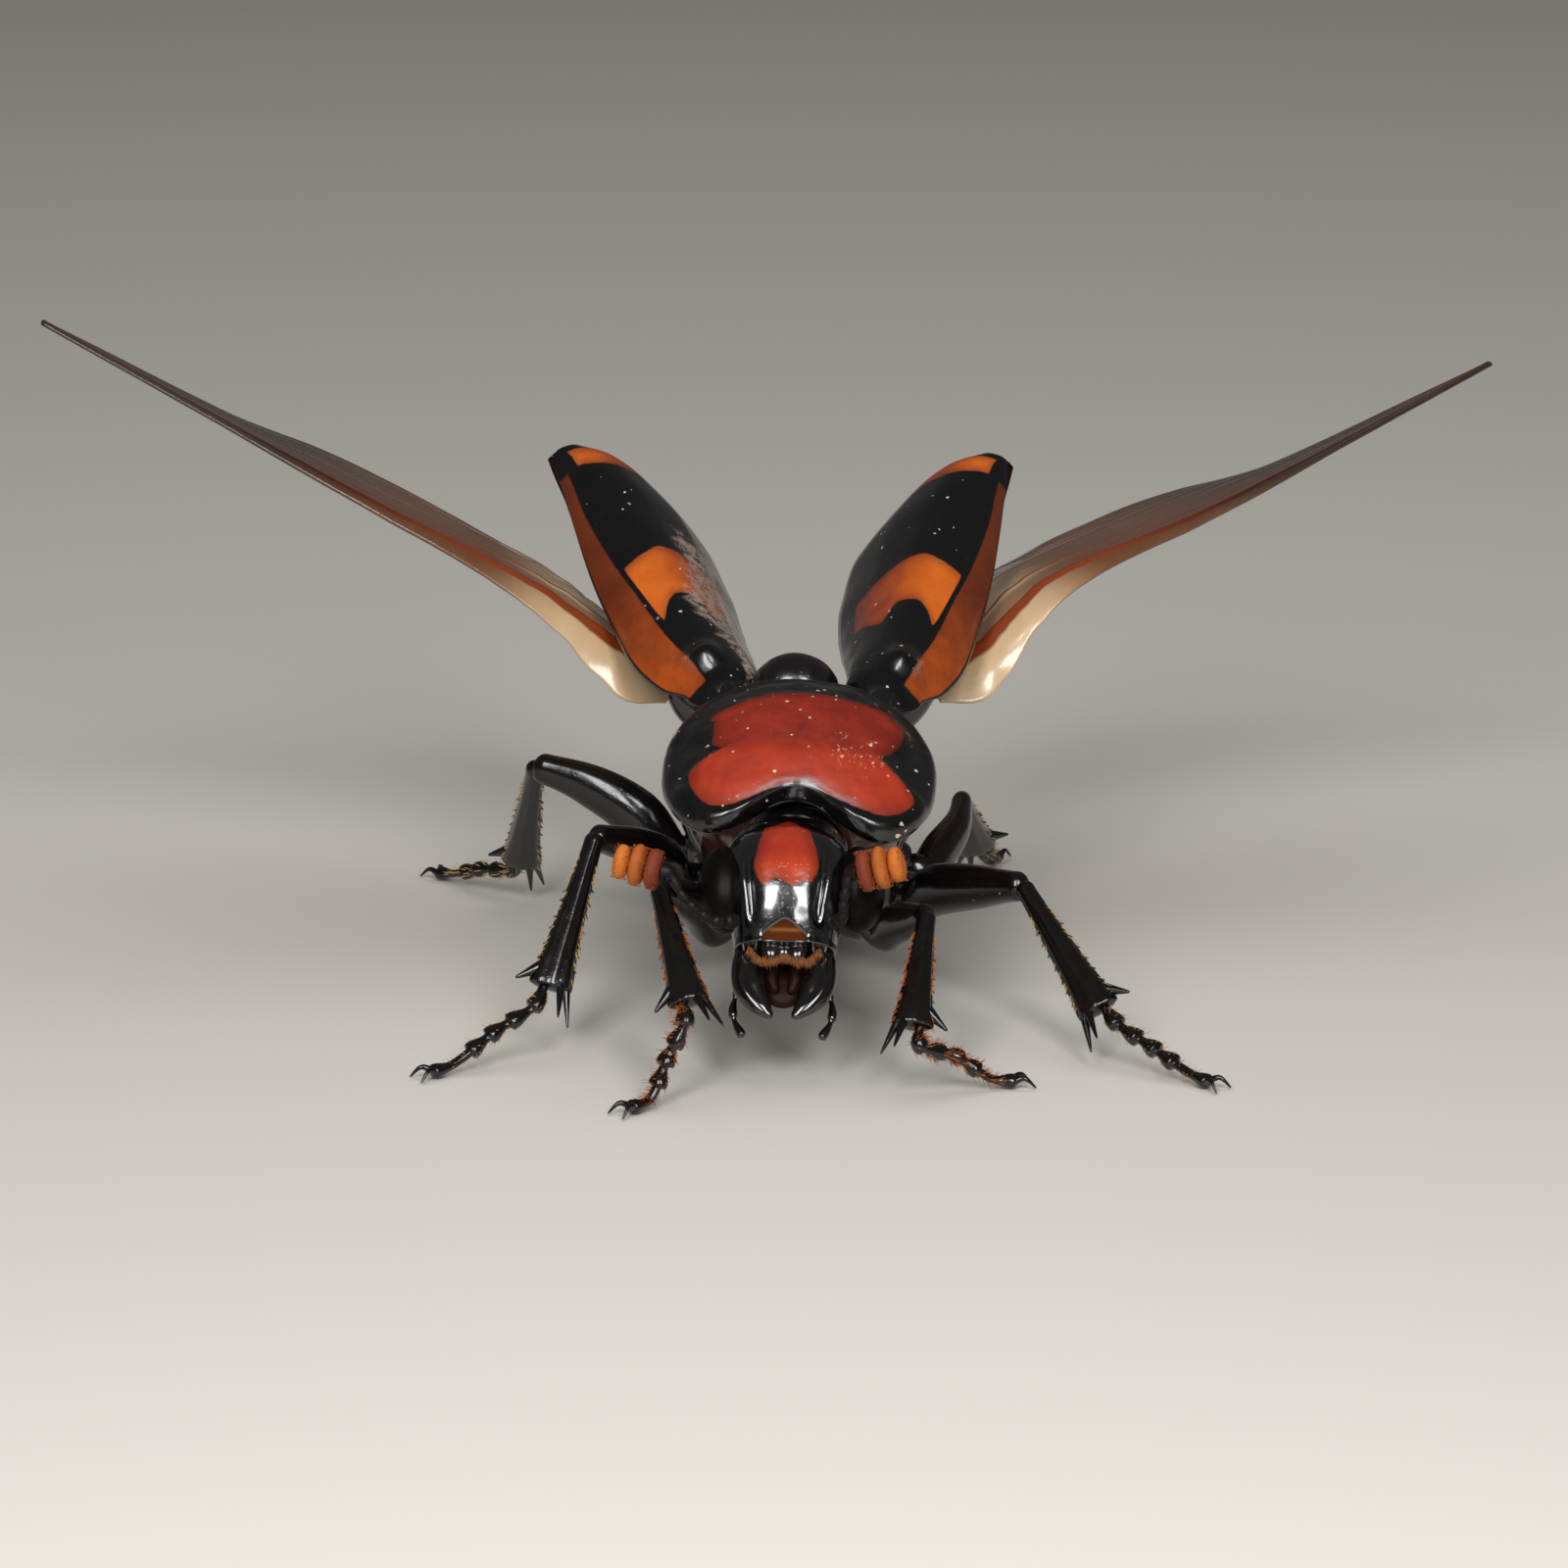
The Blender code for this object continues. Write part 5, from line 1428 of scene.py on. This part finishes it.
def makeLeg(leg, number):
    spec = legs[leg]
    pair, side = leg.split("_")
    coxa, hip, knee, ankle, bow = (Vector(spec[key]) for key in ("coxa", "hip", "knee", "ankle", "bow"))
    root = (hip - coxa).normalized()
    hip = hip + root * gap
    thigh, shin = (knee - hip).normalized(), (ankle - knee).normalized()
    fat, wide = spec["femur"], spec["tibia"]
    rng = random.Random(20 + number)

    def thighProfile(share, angle):
        half = rowAt(legShape["femur"], share)[0] * fat
        return half, half * 0.85 * (1 - 0.1 * max(0.0, -math.sin(angle)) * near(share, 0.75, 0.25))

    path = [hip - root * 0.7, hip + root * 0.35]
    path += [hip.lerp(knee, 0.3) + bow, hip.lerp(knee, 0.65) + bow, knee + thigh * 0.15]
    limb = bmesh.new()
    joinInto(limb, wrapTube(40, 80, path, thighProfile, upward, 0.5, 0.5))

    broad = shin.cross(cameraWay).normalized()
    if broad.x * sides[side] < 0:
        broad = -broad
    front = shin.cross(broad).normalized()
    if front.y > 0:
        front = -front
    sizes = (
        (0.0, 0.42, 0.42), (0.12, 0.42, 0.42), (0.4, 0.52, 0.42),
        (0.75, wide * 0.8, 0.46), (0.95, wide, 0.48), (1.0, wide * 0.98, 0.45),
    )

    def shinProfile(share, angle):
        half, deep = rowAt(sizes, share)
        ridge = 1 + 0.028 * math.cos(8 * angle) * ease(0.1, 0.3, share)
        return half * ridge, deep * ridge

    def onShin(share, out, forward):
        # A place on an edge of the tibia.
        return knee.lerp(ankle, share) + broad * (rowAt(sizes, share)[0] * out) + front * forward

    joinInto(limb, wrapTube(64, 90, [knee - shin * 0.2, ankle], shinProfile, broad, 0.4, 0.16))
    corner = ankle + broad * wide
    addSpike(limb, corner - shin * 0.9 - broad * 0.35, corner + broad * 0.6 - shin * 0.1, 0.3)
    inner = ankle - broad * wide - shin * 0.35
    addSpike(limb, inner + broad * 0.28, inner + shin * 1.75 - broad * 0.3, 0.2)
    second = inner + broad * 0.5 + front * 0.2
    addSpike(limb, second, second + shin * 1.6 - broad * 0.3 + front * 0.35, 0.2)
    for k in range(legShape["teeth"]):
        edge = 1 if k % 2 else -1
        share = 0.3 + 0.045 * k + rng.uniform(-0.015, 0.015)
        at = onShin(share, 0.86 * edge, rng.uniform(-0.15, 0.15))
        addSpike(limb, at, at + broad * (0.22 * edge) + shin * rng.uniform(0.15, 0.28), 0.055)

    toe = Vector((*spec["toe"], 0.3))
    away = Vector((toe.x - ankle.x, toe.y - ankle.y, 0)).normalized()
    heel = toe - away * 1.1
    heel.z = 0.5
    start = ankle + broad * 0.25 + shin * gap
    path = [start - shin * 0.5, start + shin * 0.5 + away * 0.2, heel.lerp(ankle, 0.45), heel, toe]
    across = away.cross(upward)
    joints, footRows = legShape["tarsus"], legShape["footRows"]

    def footProfile(share, angle):
        # Each joint widens to its end. The last one is long and thin.
        k = 0
        while k < 4 and share > joints[k + 1]:
            k += 1
        f = (share - joints[k]) / (joints[k + 1] - joints[k])
        size = 0.2 + 0.2 * ease(0.1, 0.8, f) - 0.2 * ease(0.93, 1.0, f)
        if k == 4:
            size = 0.2 + 0.14 * ease(0.5, 0.9, f)
        return size * 1.12, size * 0.92

    joinInto(limb, wrapTube(28, footRows, path, footProfile, across, 0.2, 0.2))
    for turn in (-1, 1):
        tip = toe + away * 0.72 + across * 0.5 * turn
        tip.z = 0.1
        addSpike(limb, toe - away * 0.2 + across * 0.14 * turn, tip, 0.15, 0.3)
    for vert in limb.verts:
        vert.co.z = max(vert.co.z, 0.004)
    nodes = (leg + "_femur", leg + "_tibia", leg + "_tarsus")
    finishPiece(limb, leg + "_leg", [legChitin], nodes)

    foot = tubeShape(path, footProfile, across, footRows)
    roots = []
    for k in range(legShape["frontPadHairs" if pair == "front" else "padHairs"]):
        v = rng.uniform(0.15, 0.78)
        u = rng.uniform(0, 1)
        at, core = foot(u, v), foot(u + 0.5, v)
        way = (at - core).normalized() + away * 0.8
        if at.z > 0.35:
            roots.append((at - way * 0.03, way, rng.uniform(0.2, 0.42), 0.02, 0.0, (v, u)))
    for k in range(legShape["shinHairs"]):
        share, edge = rng.uniform(0.15, 0.98), rng.choice((-1, 1))
        at = onShin(share, 0.9 * edge, rng.uniform(-0.3, 0.3))
        way = broad * (edge * rng.uniform(0.3, 0.8)) + shin
        roots.append((at, way, rng.uniform(0.2, 0.5), 0.02, 0.0, (0.5 + share * 0.4, 0.1 * edge + 0.5)))
    growHairs(leg + "_setae", roots, goldHair if pair == "front" else paleHair)


for number, leg in enumerate(legs):
    makeLeg(leg, number)
print("legs made")


# Soft links between the plates

links = {
    # Rows of (row of the trunk that gives the size, start and end along Y).
    "rings": (("prosternum", 0.4, 2.2), ("metathorax", 4.3, 6.0), ("abdomen", 10.4, 12.4)),
    "ringInset": 0.5,
    "neckPath": ((-0.35, -6.8, 8.5), (-0.25, -5.6, 8.5), (0.0, -4.2, 8.4)),
    "nape": ((0.05, -2.4, 11.0), (0.05, -2.6, 12.2)),
    "napeSizes": ((0, 2.6, 2.6), (1, 2.9, 2.9)),
}


def makeLinks():
    # The neck: black rings between the head and the shield.
    def neckProfile(share, angle):
        bead = 0.14 * (near(share, 0.22, 0.07) + near(share, 0.5, 0.08) + near(share, 0.8, 0.08))
        return 2.15 + bead, 1.5 + 0.25 * share + bead

    neck = wrapTube(96, 60, links["neckPath"], neckProfile, leftward)
    finishPiece(neck, "neck_rings", [bodyChitin])
    soft = bmesh.new()
    for rows, low, high in links["rings"]:
        halfWidth, top, bottom = rowAt(trunk[rows], (low + high) / 2)
        middle, halfHeight = (top + bottom) / 2, (top - bottom) / 2
        inset = links["ringInset"]
        sizes = [(end, halfWidth - inset, halfHeight - inset) for end in (0, 1)]
        joinInto(soft, wrapTube(64, 16, [(0, low, middle), (0, high, middle)], sizes, leftward))
    joinInto(soft, wrapTube(48, 10, links["nape"], links["napeSizes"], leftward))
    finishPiece(soft, "soft_links", [jointSkin])


makeLinks()
print("links made")


# Floor, light and camera, in metres

studio = {
    "floorHalf": 1.5,
    "floorColour": "#cfcbc4",
    "skyColour": "#c4c2c0",
    "skyStrength": 0.17,
    # Name, place, width, height, power in watts, and whether glossy surfaces mirror it.
    "lamps": (
        ("left_softbox", (-0.047, -0.165, 0.118), 0.05, 0.11, 0.21, True),
        ("right_softbox", (0.047, -0.165, 0.118), 0.05, 0.11, 0.21, True),
        ("overhead_fill", (0.0, 0.05, 0.33), 0.45, 0.35, 0.5, False),
    ),
    "lampAim": Vector((0, 0, 0.01)),
    "lens": 163.04,
    "cameraPlace": (0.000159, -0.298065, 0.088246),
    "cameraTilt": 75.0,
}


def makeStage():
    scene = bpy.context.scene
    bm = bmesh.new()
    bmesh.ops.create_grid(bm, x_segments=1, y_segments=1, size=studio["floorHalf"])
    mesh = bpy.data.meshes.new("floor")
    bm.to_mesh(mesh)
    bm.free()
    floor = addObject("floor", mesh)
    # Pale board, matt enough to show soft shadows and no mirror image.
    settings = {"Roughness": 0.6, "Base Color": linear(studio["floorColour"])}
    mesh.materials.append(startMaterial("plain pale floor", settings)[0])
    scene.world = bpy.data.worlds.new("studio")
    scene.world.use_nodes = True
    sky = scene.world.node_tree.nodes["Background"]
    feed(sky, 0, linear(studio["skyColour"]))
    feed(sky, 1, studio["skyStrength"])
    for name, place, width, height, power, mirrored in studio["lamps"]:
        lamp = bpy.data.lights.new(name, 'AREA')
        lamp.shape = 'RECTANGLE'
        lamp.size = width
        lamp.size_y = height
        lamp.energy = power
        thing = addObject(name, lamp)
        thing.visible_glossy = mirrored
        thing.location = place
        thing.rotation_euler = (studio["lampAim"] - Vector(place)).to_track_quat('-Z', 'Y').to_euler()
    lens = bpy.data.cameras.new("view")
    lens.lens = studio["lens"]
    lens.sensor_width = 36.0
    lens.clip_start = 0.01
    camera = addObject("view", lens)
    camera.location = studio["cameraPlace"]
    camera.rotation_euler = (math.radians(studio["cameraTilt"]), 0.0, 0.0)
    scene.camera = camera
    scene.view_settings.view_transform = 'Standard'


makeStage()
print("stage made")
